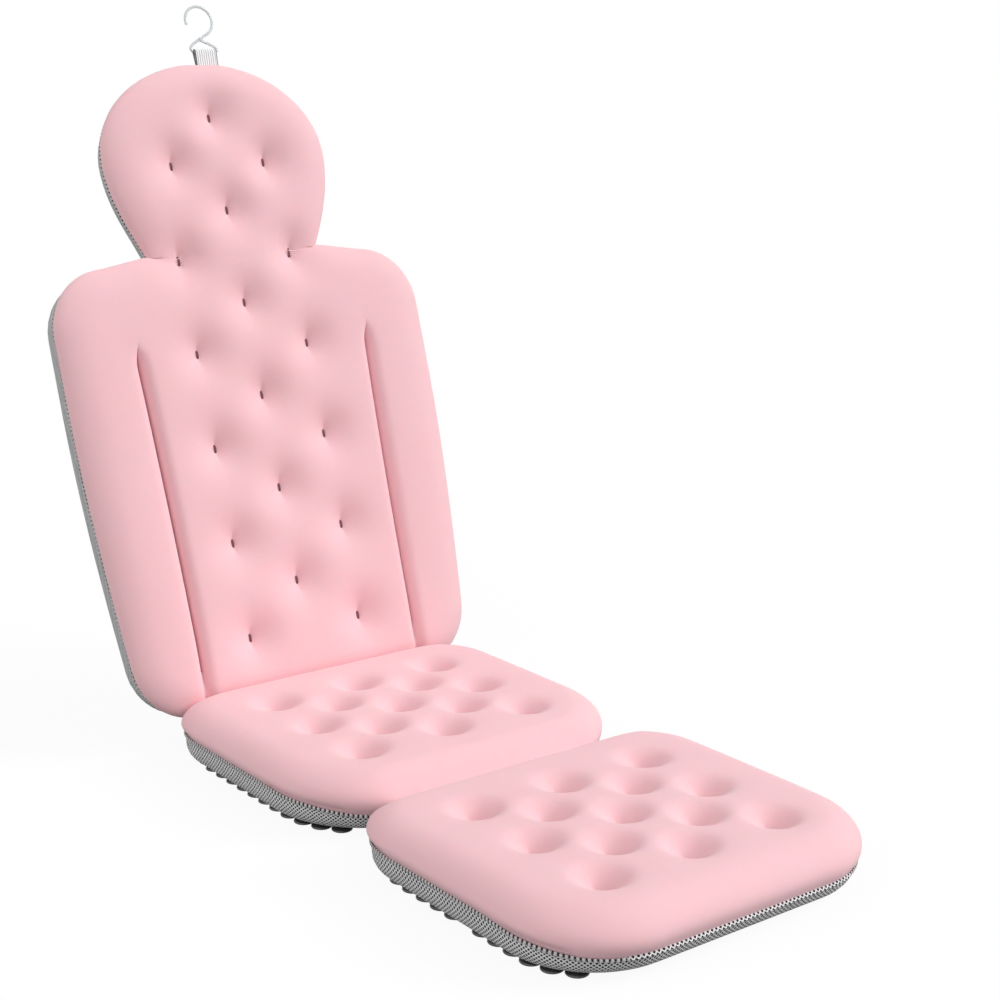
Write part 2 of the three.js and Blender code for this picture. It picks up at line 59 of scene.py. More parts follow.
CAMERA_PLACE = (-0.94882, -1.35508, 0.67397)
CAMERA_BACK = (-0.58882, -0.77196, 0.23951)
LENS = 67.483
SENSOR_WIDTH = 36.0
FARTHEST = 30.0


def aimed(name, data, back):
    """A camera or a light in the scene, with the direction that lies behind it."""
    holder = bpy.data.objects.new(name, data)
    holder.rotation_mode = "QUATERNION"
    holder.rotation_quaternion = (-Vector(back)).to_track_quat("-Z", "Y")
    scene.collection.objects.link(holder)
    return holder


camera_data = bpy.data.cameras.new("camera")
camera_data.lens = LENS
camera_data.sensor_width = SENSOR_WIDTH
camera_data.clip_end = FARTHEST
scene.camera = aimed("camera", camera_data, CAMERA_BACK)
scene.camera.location = CAMERA_PLACE


# Studio
# A plain white floor and surround, with a soft light from the right and a broad, weaker one from the left.
# What the camera sees of the floor is nearly all white, with the mat's shadow left in it.


class Value:
    """An output of a node: arithmetic on it adds the Math nodes."""

    def __init__(self, nodes, socket):
        self.nodes = nodes
        self.socket = socket

    def math(self, operation, *others):
        return self.nodes.node("Math", {"operation": operation}, dict(enumerate((self, *others))))

    def __add__(self, other):
        return self.math("ADD", other)

    def __sub__(self, other):
        return self.math("SUBTRACT", other)

    def __rsub__(self, other):
        return self.nodes.node("Math", {"operation": "SUBTRACT"}, {0: other, 1: self})

    def __mul__(self, other):
        return self.math("MULTIPLY", other)

    __radd__ = __add__
    __rmul__ = __mul__

    def other(self, output):
        """Another output of the same node."""
        return Value(self.nodes, self.socket.node.outputs[output])

    def between(self, low, high):
        """0 below low, 1 above high, smooth between."""
        sockets = {"Value": self, "From Min": low, "From Max": high}
        return self.nodes.node("MapRange", {"interpolation_type": "SMOOTHSTEP"}, sockets)

    def waves(self, pitch):
        """0 at each multiple of the pitch and 1 halfway between."""
        return (self * (np.pi / pitch)).math("SINE").math("ABSOLUTE")


class Nodes:
    """A node tree, with one method that adds any shader node."""

    def __init__(self, tree):
        self.tree = tree

    def node(self, kind, settings=None, sockets=None, output=0):
        node = self.tree.nodes.new("ShaderNode" + kind)
        for name, value in (settings or {}).items():
            setattr(node, name, value)
        for name, value in (sockets or {}).items():
            self.feed(node.inputs[name], value)
        return Value(self, node.outputs[output])

    def feed(self, socket, value):
        if isinstance(value, Value):
            self.tree.links.new(value.socket, socket)
        else:
            socket.default_value = value

    def seen_plainly(self):
        """1 for what the camera sees, itself or by a reflection or through clear plastic, otherwise 0."""
        rays = self.node("LightPath", output="Is Camera Ray")
        reflected = rays.other("Is Glossy Ray")
        return rays.math("MAXIMUM", reflected).math("MAXIMUM", rays.other("Is Transmission Ray"))


class Finish(Nodes):
    """A material: what is the same all over is set on the shader, and what varies is worked out by nodes."""

    def __init__(self, name, **constants):
        self.material = bpy.data.materials.new(name)
        self.material.use_nodes = True
        super().__init__(self.material.node_tree)
        self.shader = self.tree.nodes["Principled BSDF"]
        for socket, value in constants.items():
            self.shader.inputs[socket.replace("_", " ")].default_value = value

    def mix(self, share, first, second):
        """The first colour where share is 0 and the second where it is 1."""
        return self.node("Mix", {"data_type": "RGBA"}, {0: share, 6: first, 7: second}, output=2)

    def place(self):
        """Place on the piece itself, in metres."""
        return self.node("TexCoord", output="Object")

    def unrolled(self):
        """Place along the unrolled piece, in metres; output 1 of the same node is the place across it."""
        places = self.node("UVMap", {"uv_map": "unrolled"})
        return self.node("SeparateXYZ", sockets={0: places})

    def noise(self, scale, detail=2.0):
        """An uneven pattern fixed to the piece; scale is its number of cells to a metre."""
        sockets = {"Vector": self.place(), "Scale": scale, "Detail": detail}
        return self.node("TexNoise", sockets=sockets)

    def painted(self, colour, roughness=None, raised=None, depth=0.0, strength=1.0):
        """The material with its colour, and with roughness and relief where they are given."""
        self.feed(self.shader.inputs["Base Color"], colour)
        if roughness is not None:
            self.feed(self.shader.inputs["Roughness"], roughness)
        if raised is not None:
            sockets = {"Strength": strength, "Distance": depth, "Height": raised}
            self.feed(self.shader.inputs["Normal"], self.node("Bump", sockets=sockets))
        return self.material


def colour(code):
    """Linear colour of a hexadecimal sRGB code."""
    parts = [int(code[i:i + 2], 16) / 255 for i in (0, 2, 4)]
    return (*[part / 12.92 if part <= 0.04045 else ((part + 0.055) / 1.055) ** 2.4 for part in parts], 1.0)


def new_piece(name, points, faces, finish, matrix=Matrix(), unrolled=None):
    """A smooth piece laid in the mat by a matrix; unrolled is the flat place of each corner of each face."""
    mesh = bpy.data.meshes.new(name)
    placed = np.asarray(points) @ np.array(matrix.to_3x3()).T + np.array(matrix.translation)
    mesh.from_pydata(placed.tolist(), [], [[int(i) for i in face] for face in faces])
    if unrolled is not None:
        layer = mesh.uv_layers.new(name="unrolled")
        layer.data.foreach_set("uv", np.asarray(unrolled, dtype=np.float32).ravel())
    mesh.polygons.foreach_set("use_smooth", np.ones(len(mesh.polygons), dtype=bool))
    mesh.materials.append(finish)
    mesh.update()
    piece = bpy.data.objects.new(name, mesh)
    scene.collection.objects.link(piece)
    return piece


FLOOR_REACH = 12.0
FLOOR_DROP = 0.0004
FLOOR_WHITE_SHARE = 0.93
FLOOR_BOUNCE = 0.25
AMBIENT = 0.44
WHITE = (1.0, 1.0, 1.0, 1.0)
CORNERS = ((-1, -1), (1, -1), (1, 1), (-1, 1))
LIGHTS = {
    # name: direction it comes from, strength, how wide it looks in degrees
    "key_light": ((1.0, -0.65, 0.75), 2.25, 30.0),
    "fill_light": ((-1.0, -0.2, 0.35), 1.25, 90.0),
}

ground = Finish("studio_floor", Roughness=0.9)
ground.painted(ground.seen_plainly() * (1 - FLOOR_BOUNCE) + FLOOR_BOUNCE)
floor_white = ground.node("Emission", sockets={"Color": WHITE, "Strength": 1.0})
floor_lit = Value(ground, ground.shader.outputs[0])
floor_shaders = {0: ground.seen_plainly() * FLOOR_WHITE_SHARE, 1: floor_lit, 2: floor_white}
floor_mixed = ground.node("MixShader", sockets=floor_shaders)
ground.feed(ground.tree.nodes["Material Output"].inputs["Surface"], floor_mixed)
floor_corners = [(i * FLOOR_REACH, j * FLOOR_REACH, -FLOOR_DROP) for i, j in CORNERS]
studio_floor = new_piece("studio_floor", floor_corners, [(0, 1, 2, 3)], ground.material)

world = bpy.data.worlds.new("studio")
world.use_nodes = True
scene.world = world
surround = Nodes(world.node_tree)
backdrop = surround.tree.nodes["Background"]
surround.feed(backdrop.inputs["Color"], WHITE)
surround.feed(backdrop.inputs["Strength"], surround.seen_plainly() * (1 - AMBIENT) + AMBIENT)

for light_name, (source, strength, width) in LIGHTS.items():
    light = bpy.data.lights.new(light_name, "SUN")
    light.energy = strength
    light.angle = np.radians(width)
    aimed(light_name, light, source)


# Fibre cores
# Each cushion is filled with a block of springy open fibre, cut to its plan and rounded below. The mesh base
# holds it; nothing of it shows.

SEAT_LENGTH = 0.308
SEAT_HALF_WIDTH = 0.173
SEAT_CORNERS = (0.104, 0.064)
LEG_LENGTH = 0.309
LEG_HALF_WIDTH = 0.172
LEG_CORNERS = (0.084, 0.068)
BACK_HALF_WIDTH = 0.206
BACK_FOOT_NARROWING = 0.020
BACK_WIDENING = 0.320
BACK_CORNER = 0.050
SHOULDER_HEIGHT = 0.438
SHOULDER_RADIUS = 0.058
NECK_HEIGHT = 0.447
NECK_HALF_WIDTH = 0.092
HEAD_WIDEST = 0.547
HEAD_HALF_WIDTH = 0.1235
HEAD_TOP_RISE = 0.093
HEAD_TOP_HALF_WIDTH = 0.0144
BACK_LENGTH = HEAD_WIDEST + HEAD_TOP_RISE
EDGE_REACH = 0.028
EDGE_CELLS = 8
OUTLINE_STEP = 0.005
ROW_CLEAR_SHARE = 0.4
MITRE_SHARE = 0.5
SEAM_HEIGHT = 0.022
SEAM_GAP = 0.0003
FOLD_GAP = 0.008
CUP_HEIGHT = 0.006
BACK_LEAN = 18.0
JOINTS = {joint["name"]: joint for joint in frame["joints"]}
BACK_FOLD = Vector(JOINTS["back_fold"]["pos_m"])
LEG_FOLD = Vector(JOINTS["leg_fold"]["pos_m"])
BOTTOM_ROUNDING = (0.014, 0.015)
BACK_ROUNDING = (0.006, 0.007)
MESH_THICKNESS = 0.003
SEAM_DROP = 0.007
SEAM_DROP_END = (0.1 * EDGE_REACH, 2.6 * EDGE_REACH)
SEAM_LIFT = 0.003
SEAM_LIFT_START = (2 * EDGE_REACH, 4 * EDGE_REACH)
NECK_CELLS = 5
HEAD_TAPER = 0.005
TUB_STEP = 0.010
TUB_COLUMNS = 31
ROUNDING_STEPS = 8
FIBRE_RELIEF = 0.002


def rounded_half_width(from_end, half_width, radius):
    """Half width of a rounded rectangle at a distance from its nearer end."""
    rest = np.maximum(0, radius - from_end)
    return half_width - radius + np.sqrt(radius ** 2 - rest ** 2)


def back_side(height):
    """Half width of the back between its rounded corners."""
    grown = np.sin(np.minimum(1, height / BACK_WIDENING) * np.pi / 2)
    return BACK_HALF_WIDTH - BACK_FOOT_NARROWING * (1 - grown)


def smooth_step(value, low, high):
    """0 below low, 1 above high, smooth between."""
    share = np.clip((value - low) / (high - low), 0, 1)
    return share * share * (3 - 2 * share)


def back_half_width(height):
    """Half width of the back above its lower edge: body, shoulders, neck and head."""
    from_shoulder = np.maximum(0, SHOULDER_HEIGHT - height)
    upper = rounded_half_width(from_shoulder, back_side(height), SHOULDER_RADIUS)
    lower = rounded_half_width(height, back_side(height), BACK_CORNER)
    body = np.where(height > SHOULDER_HEIGHT / 2, upper, lower)
    on_shoulder = np.clip((height - SHOULDER_HEIGHT) / (NECK_HEIGHT - SHOULDER_HEIGHT), 0, 1)
    body = body + (NECK_HALF_WIDTH - body) * on_shoulder
    share = np.clip((height - NECK_HEIGHT) / (HEAD_WIDEST - NECK_HEIGHT), 0, 1)
    throat = NECK_HALF_WIDTH + (HEAD_HALF_WIDTH - NECK_HALF_WIDTH) * np.sin(share * np.pi / 2)
    top_share = np.sqrt(1 - (HEAD_TOP_HALF_WIDTH / HEAD_HALF_WIDTH) ** 2)
    rise = np.clip((height - HEAD_WIDEST) / HEAD_TOP_RISE, 0, 1) * top_share
    crown = HEAD_HALF_WIDTH * np.sqrt(1 - rise ** 2)
    return np.where(height > HEAD_WIDEST, crown, np.where(height >= NECK_HEIGHT, throat, body))


def closing(reach, steps):
    """Places from 0 to a reach, closer together at 0."""
    return reach * (1 - np.cos(np.linspace(0, np.pi / 2, steps + 1)))


def unit(vectors):
    return vectors / np.linalg.norm(vectors, axis=1, keepdims=True)


def run_along(line):
    """Distance of each point of a line from its start, measured along it."""
    return np.concatenate([[0], np.cumsum(np.linalg.norm(np.diff(line, axis=0), axis=1))])


def turned_normals(loop):
    """Outward normals at the corners of a closed anticlockwise loop, longer where it turns."""
    before = unit(loop - np.roll(loop, 1, 0))
    after = unit(np.roll(loop, -1, 0) - loop)
    normals = unit(np.stack([before[:, 1] + after[:, 1], -before[:, 0] - after[:, 0]], 1))
    square = np.stack([before[:, 1], -before[:, 0]], 1)
    return normals / np.maximum(MITRE_SHARE, np.abs((normals * square).sum(1, keepdims=True)))


class Cushion:
    """The plan of one cushion, measured from its end at y = 0, and where it lies in the mat."""

    def __init__(self, name, body, half_width, spans, matrix, rounding, front_fold=None):
        self.name = name
        self.body = body
        self.half_width = half_width
        self.spans = spans
        self.length = spans[-1][1]
        self.matrix = matrix
        self.rounding = rounding
        self.front_fold = front_fold

    def rows(self, step=OUTLINE_STEP, start=0.0):
        """Places of the rows: even around a start, and closer together at the ends of each span."""
        places = []
        for low, high, low_is_edge in self.spans:
            first = low + (EDGE_REACH if low_is_edge else 0)
            last = high - EDGE_REACH
            low_number = np.ceil((first - start) / step + ROW_CLEAR_SHARE)
            high_number = np.floor((last - start) / step - ROW_CLEAR_SHARE)
            if low_is_edge:
                places.append(low + closing(EDGE_REACH, EDGE_CELLS))
            else:
                places.append(np.linspace(places[-1][-1], low, NECK_CELLS + 1)[1:])
            even = start + step * np.arange(low_number, high_number + 1)
            places += [even, high - closing(EDGE_REACH, EDGE_CELLS)[::-1]]
        return np.concatenate(places)

    def outline(self, rows, inset=0.0):
        """The outline through the ends of the rows, anticlockwise from the right end of the first.

        It can lie inside the true one, by one distance or by one for each row.
        """
        right = np.stack([self.half_width(rows), rows], 1)
        loop = np.vstack([right, right[::-1] * [-1, 1]])
        inset = np.broadcast_to(inset, len(rows))
        return loop - np.concatenate([inset, inset[::-1]])[:, None] * turned_normals(loop)

    def sag(self, flat):
        """How far the seam hangs below its mean height: down round the free front, up at the sides."""
        if self.front_fold is None:
            return np.zeros(len(flat))
        x, y = np.abs(flat[:, 0]), flat[:, 1]
        front = 1 - smooth_step(y, *SEAM_DROP_END)
        if self.front_fold > 0:
            front = front * smooth_step(x, self.front_fold, self.front_fold + EDGE_REACH)
        sides = smooth_step(y, *SEAM_LIFT_START)
        sides = sides * smooth_step(self.length - y, 0, 2 * EDGE_REACH)
        return SEAM_DROP * front - SEAM_LIFT * sides

    def grid(self, rows, shares, inset=0.0):
        """Points of a grid over the plan: a row for each place along it, spread over the width by shares."""
        ends = self.outline(rows, inset)[:len(rows)]
        x = ends[:, :1] * shares
        return np.stack([x, np.broadcast_to(ends[:, 1:], x.shape)], 2)

    def piece(self, name, points, faces, finish, unrolled=None):
        """A new piece of this cushion."""
        return new_piece(f"{self.name}_{name}", points, faces, finish, self.matrix, unrolled)

    def to_edge(self, points):
        """The nearest place on the outline for each point."""
        loop = self.outline(self.rows())
        nearest = np.zeros_like(points)
        least = np.full(len(points), np.inf)
        for start, end in zip(loop, np.roll(loop, -1, 0)):
            span = end - start
            share = np.clip((points - start) @ span / (span @ span), 0, 1)
            place = start + share[:, None] * span
            away = np.linalg.norm(points - place, axis=1)
            nearest[away < least] = place[away < least]
            least = np.minimum(least, away)
        return nearest


def moved(x, y, z):
    return Matrix.Translation((x, y, z))


def square_cushion(name, body, length, half_width, corners, rear_fold, front_fold):
    """The seat or the leg rest, each with front and rear corners of its own."""
    def half_width_at(y):
        front = rounded_half_width(y, half_width, corners[0])
        rear = rounded_half_width(length - y, half_width, corners[1])
        return np.where(y < length / 2, front, rear)

    matrix = moved(0, rear_fold.y - FOLD_GAP / 2 - length, CUP_HEIGHT)
    return Cushion(name, body, half_width_at, [(0.0, length, True)], matrix, BOTTOM_ROUNDING, front_fold)


FRONT_FOLD_HALF = SEAT_HALF_WIDTH - SEAT_CORNERS[0]
seat = square_cushion("seat", "seat", SEAT_LENGTH, SEAT_HALF_WIDTH, SEAT_CORNERS, BACK_FOLD, FRONT_FOLD_HALF)
leg = square_cushion("leg", "leg_rest", LEG_LENGTH, LEG_HALF_WIDTH, LEG_CORNERS, LEG_FOLD, 0.0)
leaned = Matrix.Rotation(np.radians(90 - BACK_LEAN), 4, "X")
back = Cushion(
    "back", "back_rest", back_half_width, [(0.0, SHOULDER_HEIGHT, True), (NECK_HEIGHT, BACK_LENGTH, False)],
    moved(*BACK_FOLD) @ leaned @ moved(0, FOLD_GAP / 2, -SEAM_HEIGHT), BACK_ROUNDING,
)
CUSHIONS = [seat, leg, back]


def border_of(grid):
    """The rim of a grid of points, anticlockwise."""
    return np.concatenate([grid[0, :-1], grid[:-1, -1], grid[-1, :0:-1], grid[:0:-1, 0]])


def numbered(rows, columns):
    """The numbers of the points of a grid, as rows and columns."""
    return np.arange(rows * columns).reshape(rows, columns)


def grid_faces(index):
    return np.stack([index[:-1, :-1], index[:-1, 1:], index[1:, 1:], index[1:, :-1]], -1).reshape(-1, 4)


def skin(loops):
    """Faces between each loop of point numbers and the next."""
    near, far = np.array(loops[:-1]), np.array(loops[1:])
    return np.stack([near, far, np.roll(far, -1, 1), np.roll(near, -1, 1)], -1).reshape(-1, 4).tolist()


def unrolled_skin(along, around):
    """Flat places of the corners of a skin's faces, from the places of its loops and those round a loop."""
    flat = np.stack(np.meshgrid(along, around, indexing="ij"), 2)
    return np.stack([flat[:-1, :-1], flat[1:, :-1], flat[1:, 1:], flat[:-1, 1:]], 2).reshape(-1, 2)


def tub(cushion, inset, top, sagging=False, dents=None):
    """Side and underside of a cushion as one skin: points, faces, unrolled places and points in its rim."""
    rows = cushion.rows(TUB_STEP)
    shares = np.linspace(-1, 1, TUB_COLUMNS)
    across, up = cushion.rounding
    section = [(inset, top), (inset, (top + up) / 2)]
    for turn in np.linspace(0, np.pi / 2, ROUNDING_STEPS):
        section.append((across - (across - inset) * np.cos(turn), up - (up - inset) * np.sin(turn)))
    outer = border_of(cushion.grid(rows, shares))
    count = len(outer)
    taper = HEAD_TAPER * smooth_step(rows, NECK_HEIGHT - EDGE_REACH, NECK_HEIGHT + EDGE_REACH)
    floor = cushion.grid(rows, shares, across + taper)
    sag = cushion.sag(outer) if sagging else np.zeros(count)
    rings = []
    for ring_inset, z in section[:-1]:
        lowered = z - sag * max(0, (z - up) / (top - up))
        ring = cushion.grid(rows, shares, ring_inset + taper * (1 - z / top))
        rings.append(np.column_stack([border_of(ring), lowered]))
    flat = floor.reshape(-1, 2)
    heights = np.full(len(flat), inset) + (0 if dents is None else dents(cushion, flat))
    points = np.vstack([*rings, np.column_stack([flat, heights])])
    start = len(rings) * count
    index = numbered(*floor.shape[:2])
    below = grid_faces(index)[:, ::-1]
    faces = skin([*numbered(len(rings), count), start + border_of(index)]) + (below + start).tolist()
    places = unrolled_skin(-run_along(section), run_along(np.vstack([outer, outer[:1]])))[:, ::-1]
    return points, faces, places.tolist() + flat[below.ravel()].tolist(), count


def fibre():
    """Pale springy fibre: loose strands that cross in all directions."""
    finish = Finish("fibre", Roughness=0.9, Specular_IOR_Level=0.2)
    strands = finish.noise(420.0, 6.0)
    shade = finish.mix(strands.between(0.35, 0.65), colour("bfbcb4"), colour("f1efea"))
    return finish.painted(shade, raised=strands, depth=FIBRE_RELIEF)


fibre_finish = fibre()
for cushion in CUSHIONS:
    core_inset = MESH_THICKNESS + SEAM_GAP
    points, faces, places, rim_count = tub(cushion, core_inset, SEAM_HEIGHT - SEAM_GAP)
    faces.append(range(rim_count))
    places += points[:rim_count, :2].tolist()
    core = cushion.piece("fibre_core", points, faces, fibre_finish, places)
    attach(core, cushion.body)
    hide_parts(f"{cushion.name}_core")


# Air-mesh sides and underside
# One sheet of thick grey spacer mesh under each cushion, drawn in round the bottom edge. Its open face has
# staggered diamond holes, painted near black as the shade in the depth between the threads.

DIAMOND_ALONG = 0.0044
DIAMOND_ACROSS = 0.0036
MESH_RELIEF = 0.0012
UNDERSIDE_PULL = 0.003
UNDERSIDE_PULL_REACH = 0.016


def air_mesh():
    """Two sets of slanted threads, unevenly worn, with painted shade filling the diamond holes between them.
    """
    finish = Finish("air_mesh", Roughness=0.8, Specular_IOR_Level=0.3)
    along = finish.unrolled()
    slant = along.other(1) * (DIAMOND_ALONG / DIAMOND_ACROSS)
    threads = (along + slant).waves(DIAMOND_ALONG).math("MINIMUM", (along - slant).waves(DIAMOND_ALONG))
    shaded_hole = threads.between(0.46, 0.68)
    worn = finish.noise(60.0, 3.0)
    strand = finish.mix(worn, colour("dcdcdd"), colour("f4f4f5"))
    # painted shade: the holes get a near-black colour for the shade inside the mesh
    shade = finish.mix(shaded_hole, strand, colour("1c1c1d"))
    return finish.painted(shade, raised=1 - shaded_hole, depth=MESH_RELIEF, strength=0.8)


def square_tufts(across, along, middle):
    """Three rows of three tufts with four more between them."""
    outer = [(i * across, middle + j * along) for j in (-1, 0, 1) for i in (-1, 0, 1)]
    inner = [(i * across / 2, middle + j * along / 2) for j in (-1, 1) for i in (-1, 1)]
    return outer + inner


BACK_TUFT_FIRST = 0.060
BACK_TUFT_PITCH = 0.048
BACK_TUFT_ROWS = 12
BACK_TUFT_ACROSS = 0.064
HEAD_TUFT_ACROSS = 0.053
SEAT_TUFT_ACROSS, SEAT_TUFT_ALONG = 0.092, 0.075
LEG_TUFT_ACROSS, LEG_TUFT_ALONG = 0.092, 0.080
LEG_TUFT_SHIFT = 0.008


def back_tufts():
    """Pairs of tufts up the back and the head, with single ones between them."""
    tufts = []
    for row in range(BACK_TUFT_ROWS):
        height = BACK_TUFT_FIRST + row * BACK_TUFT_PITCH
        across = HEAD_TUFT_ACROSS if height > NECK_HEIGHT else BACK_TUFT_ACROSS
        tufts += [(side * across, height) for side in ((-1, 1) if row % 2 == 0 else (0,))]
    return tufts


TUFTS = {
    "seat": square_tufts(SEAT_TUFT_ACROSS, SEAT_TUFT_ALONG, SEAT_LENGTH / 2),
    "leg": square_tufts(LEG_TUFT_ACROSS, LEG_TUFT_ALONG, LEG_LENGTH / 2 - LEG_TUFT_SHIFT),
    "back": back_tufts(),
}


def pulled_up(cushion, flat):
    """How far the tuft stitches pull the underside up."""
    away = [((flat - tuft) ** 2).sum(1) / UNDERSIDE_PULL_REACH ** 2 for tuft in TUFTS[cushion.name]]
    return UNDERSIDE_PULL * sum(np.exp(-each) for each in away)


grey_mesh = air_mesh()
for cushion in CUSHIONS:
    points, faces, places, _ = tub(cushion, 0.0, SEAM_HEIGHT - SEAM_GAP / 2, True, pulled_up)
    base = cushion.piece("air_mesh", points, faces, grey_mesh, places)
    thick = base.modifiers.new("thick", "SOLIDIFY")
    thick.thickness = MESH_THICKNESS
    thick.offset = -1
    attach(base, cushion.body)
    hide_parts(f"{cushion.name}_mesh_base")


# Quilted cushion tops
# Soft brushed pink fabric over fibre wadding, sewn down round the edge, at every tuft and along two channels
# of the back. Each is inflated as cloth that is held where it is sewn, so it swells between the stitches.

RIM_HEIGHT = 0.001
CROWN_RISE = 0.027
BACK_CROWN_RISE = 0.019
CROWN_FULLNESS = 2.2
SIDE_BULGE = 0.006
BULGE_SHARE = 5.4
BULGE_POWER = 1.5
DOME_RISE = 0.0035
DOME_REACH = 0.120
TUFT_BOWL = (0.0155, 0.0185, 2.8)
BACK_TUFT_BOWL = (0.0125, 0.024, 2.0)
PINCH_DEPTH = 0.0045
PINCH_REACH = 0.004
TIE_LENGTH = 0.009
CHANNEL_INSET = 0.081
CHANNEL_BOW = 0.008
CHANNEL_LENGTH = 0.361
CHANNEL_FADE = 0.018
CHANNEL_DEPTH = 0.017
CHANNEL_REACH = 0.013
FOLD_SOFTNESS = 0.002
LEG_FOLD_SLOPE = 1.0
BACK_FOLD_SLOPE = 1.2
SEWN_RIM_SHARE = 0.01
SEWN_TUFT_REACH = 0.003
SEWN_CHANNEL_REACH = 0.0012
LEAST = 1e-6
SWELL_FRAMES = 20
SWELL = {
    "quality": 6, "mass": 0.3, "tension_stiffness": 15, "compression_stiffness": 15, "shear_stiffness": 8,
    "bending_stiffness": 3, "use_pressure": True, "uniform_pressure_force": 4, "vertex_group_mass": "sewn",
}
MOST_SWELL = 0.008
SMOOTH_PASSES = 5
TUFT_ROWS = 16
BACK_PITCH_ROWS = 8
TUFT_CELLS = 11
BACK_TUFT_CELLS = 15
CHANNEL_CELLS = 6
LOOP_PITCH = 0.0012
NAP_RELIEF = 0.0002


def channel_at(height):
    """Distance of the channels from the middle of the back."""
    return BACK_HALF_WIDTH - CHANNEL_INSET + CHANNEL_BOW * np.minimum(1, height / CHANNEL_LENGTH) ** 2


def crowding(low, high, cells):
    """Places from low to high, closer together at both."""
    return low + (high - low) * (1 - np.cos(np.linspace(0, np.pi, cells + 1))) / 2


def joined(*runs):
    """Runs of places that share their ends, as one run."""
    return np.concatenate([runs[0], *[run[1:] for run in runs[1:]]])


def both_sides(right):
    return np.concatenate([-right[:0:-1], right])


def square_columns(across, half_width):
    """Columns of the seat and the leg rest as shares of the half width, with every tuft on a column."""
    right = joined(
        crowding(0, across / 2, TUFT_CELLS),
        crowding(across / 2, across, TUFT_CELLS),
        across + closing(half_width - EDGE_REACH - across, TUFT_CELLS),
        half_width - closing(EDGE_REACH, EDGE_CELLS)[::-1],
    )
    return both_sides(right / half_width)


def back_columns(height):
    """Columns of the back at one row as shares, with the tufts and the channels on columns."""
    half = float(back_half_width(height))
    edge = min(EDGE_REACH, half / 4)
    across = BACK_TUFT_ACROSS if height < NECK_HEIGHT else HEAD_TUFT_ACROSS
    across = min(across, half / 2)
    plain = joined(
        crowding(0, across, BACK_TUFT_CELLS),
        across + closing(half - edge - across, 2 * BACK_TUFT_CELLS - 2),
        half - closing(edge, EDGE_CELLS)[::-1],
    )
    side = back_side(height)
    channel = channel_at(height)
    inner = channel - CHANNEL_REACH
    beside = joined(
        crowding(0, BACK_TUFT_ACROSS, BACK_TUFT_CELLS),
        BACK_TUFT_ACROSS + closing(inner - BACK_TUFT_ACROSS, BACK_TUFT_CELLS - CHANNEL_CELLS),
        channel - closing(CHANNEL_REACH, CHANNEL_CELLS)[::-1],
        channel + closing(CHANNEL_REACH, CHANNEL_CELLS),
        np.linspace(channel + CHANNEL_REACH, side - EDGE_REACH, EDGE_CELLS),
        side - closing(EDGE_REACH, EDGE_CELLS)[::-1],
    )
    above_channels = smooth_step(height, CHANNEL_LENGTH, SHOULDER_HEIGHT - EDGE_REACH)
    return both_sides(plain / half * above_channels + beside / side * (1 - above_channels))


def swelling(distance, reach):
    """Quarter round of a padded edge: 0 at the stitches and 1 from its reach inwards."""
    rest = 1 - np.minimum(1, distance / reach)
    return (1 - rest ** CROWN_FULLNESS) ** (1 / CROWN_FULLNESS)


def from_channel(flat):
    """Distance of places on the back from the nearer channel."""
    return np.abs(np.abs(flat[:, 0]) - channel_at(flat[:, 1]))


class Quilting:
    """How one cushion top is quilted: rows and columns of its cloth, crown, tufts, channels and folds."""

    def __init__(self, cushion, step, start, columns, crown, bowl, folds, has_channels=False):
        self.cushion = cushion
        self.rows = cushion.rows(step, start)
        self.shares = np.array([columns(row) for row in self.rows])
        self.crown = crown
        self.tufts = TUFTS[cushion.name]
        self.bowl = bowl
        self.folds = folds
        self.has_channels = has_channels

    def surface(self):
        """Points of the quilted surface as rows and columns."""
        grid = self.cushion.grid(self.rows, self.shares)
        flat = grid.reshape(-1, 2)
        nearest = self.cushion.to_edge(flat)
        away = np.linalg.norm(flat - nearest, axis=1)
        edge = swelling(away, EDGE_REACH)
        dome = np.sin(np.minimum(1, away / DOME_REACH) * np.pi / 2)
        height = self.crown * edge + DOME_RISE * dome
        for end, slope in self.folds:
            limit = (np.abs(flat[:, 1] - end) + FOLD_GAP / 2) * slope - 2 * RIM_HEIGHT
            height = -FOLD_SOFTNESS * np.logaddexp(-height / FOLD_SOFTNESS, -limit / FOLD_SOFTNESS)
        depth, reach, sharpness = self.bowl
        for tuft in self.tufts:
            offset = np.abs(flat - tuft)
            bowl = np.exp(-(np.linalg.norm(offset, axis=1) / reach) ** sharpness)
            from_tie = np.hypot(offset[:, 0], np.maximum(0, offset[:, 1] - TIE_LENGTH / 2))
            pinch = np.exp(-from_tie / PINCH_REACH)
            height -= (depth * bowl + PINCH_DEPTH * pinch) * edge
        if self.has_channels:
            fade = np.clip((CHANNEL_LENGTH - flat[:, 1]) / CHANNEL_FADE, 0, 1)
            height -= CHANNEL_DEPTH * (1 - swelling(from_channel(flat), CHANNEL_REACH)) * edge * fade
        outward = (nearest - flat) / np.maximum(away, LEAST)[:, None]
        bulge = SIDE_BULGE * BULGE_SHARE * edge * (1 - edge) ** BULGE_POWER
        bulged = flat + outward * bulge[:, None]
        low = SEAM_HEIGHT + SEAM_GAP / 2 + RIM_HEIGHT - self.cushion.sag(nearest) * (1 - edge)
        top = np.column_stack([bulged, low + np.maximum(0, height)])
        return top.reshape(*grid.shape[:2], 3), flat, edge

    def sewn(self, flat, edge):
        """Which points are held by stitches: the edge, the tufts and the channels."""
        held = edge < SEWN_RIM_SHARE
        for tuft in self.tufts:
            held |= np.linalg.norm(flat - tuft, axis=1) < SEWN_TUFT_REACH
        if self.has_channels:
            held |= (from_channel(flat) < SEWN_CHANNEL_REACH) & (flat[:, 1] < CHANNEL_LENGTH)
        return held


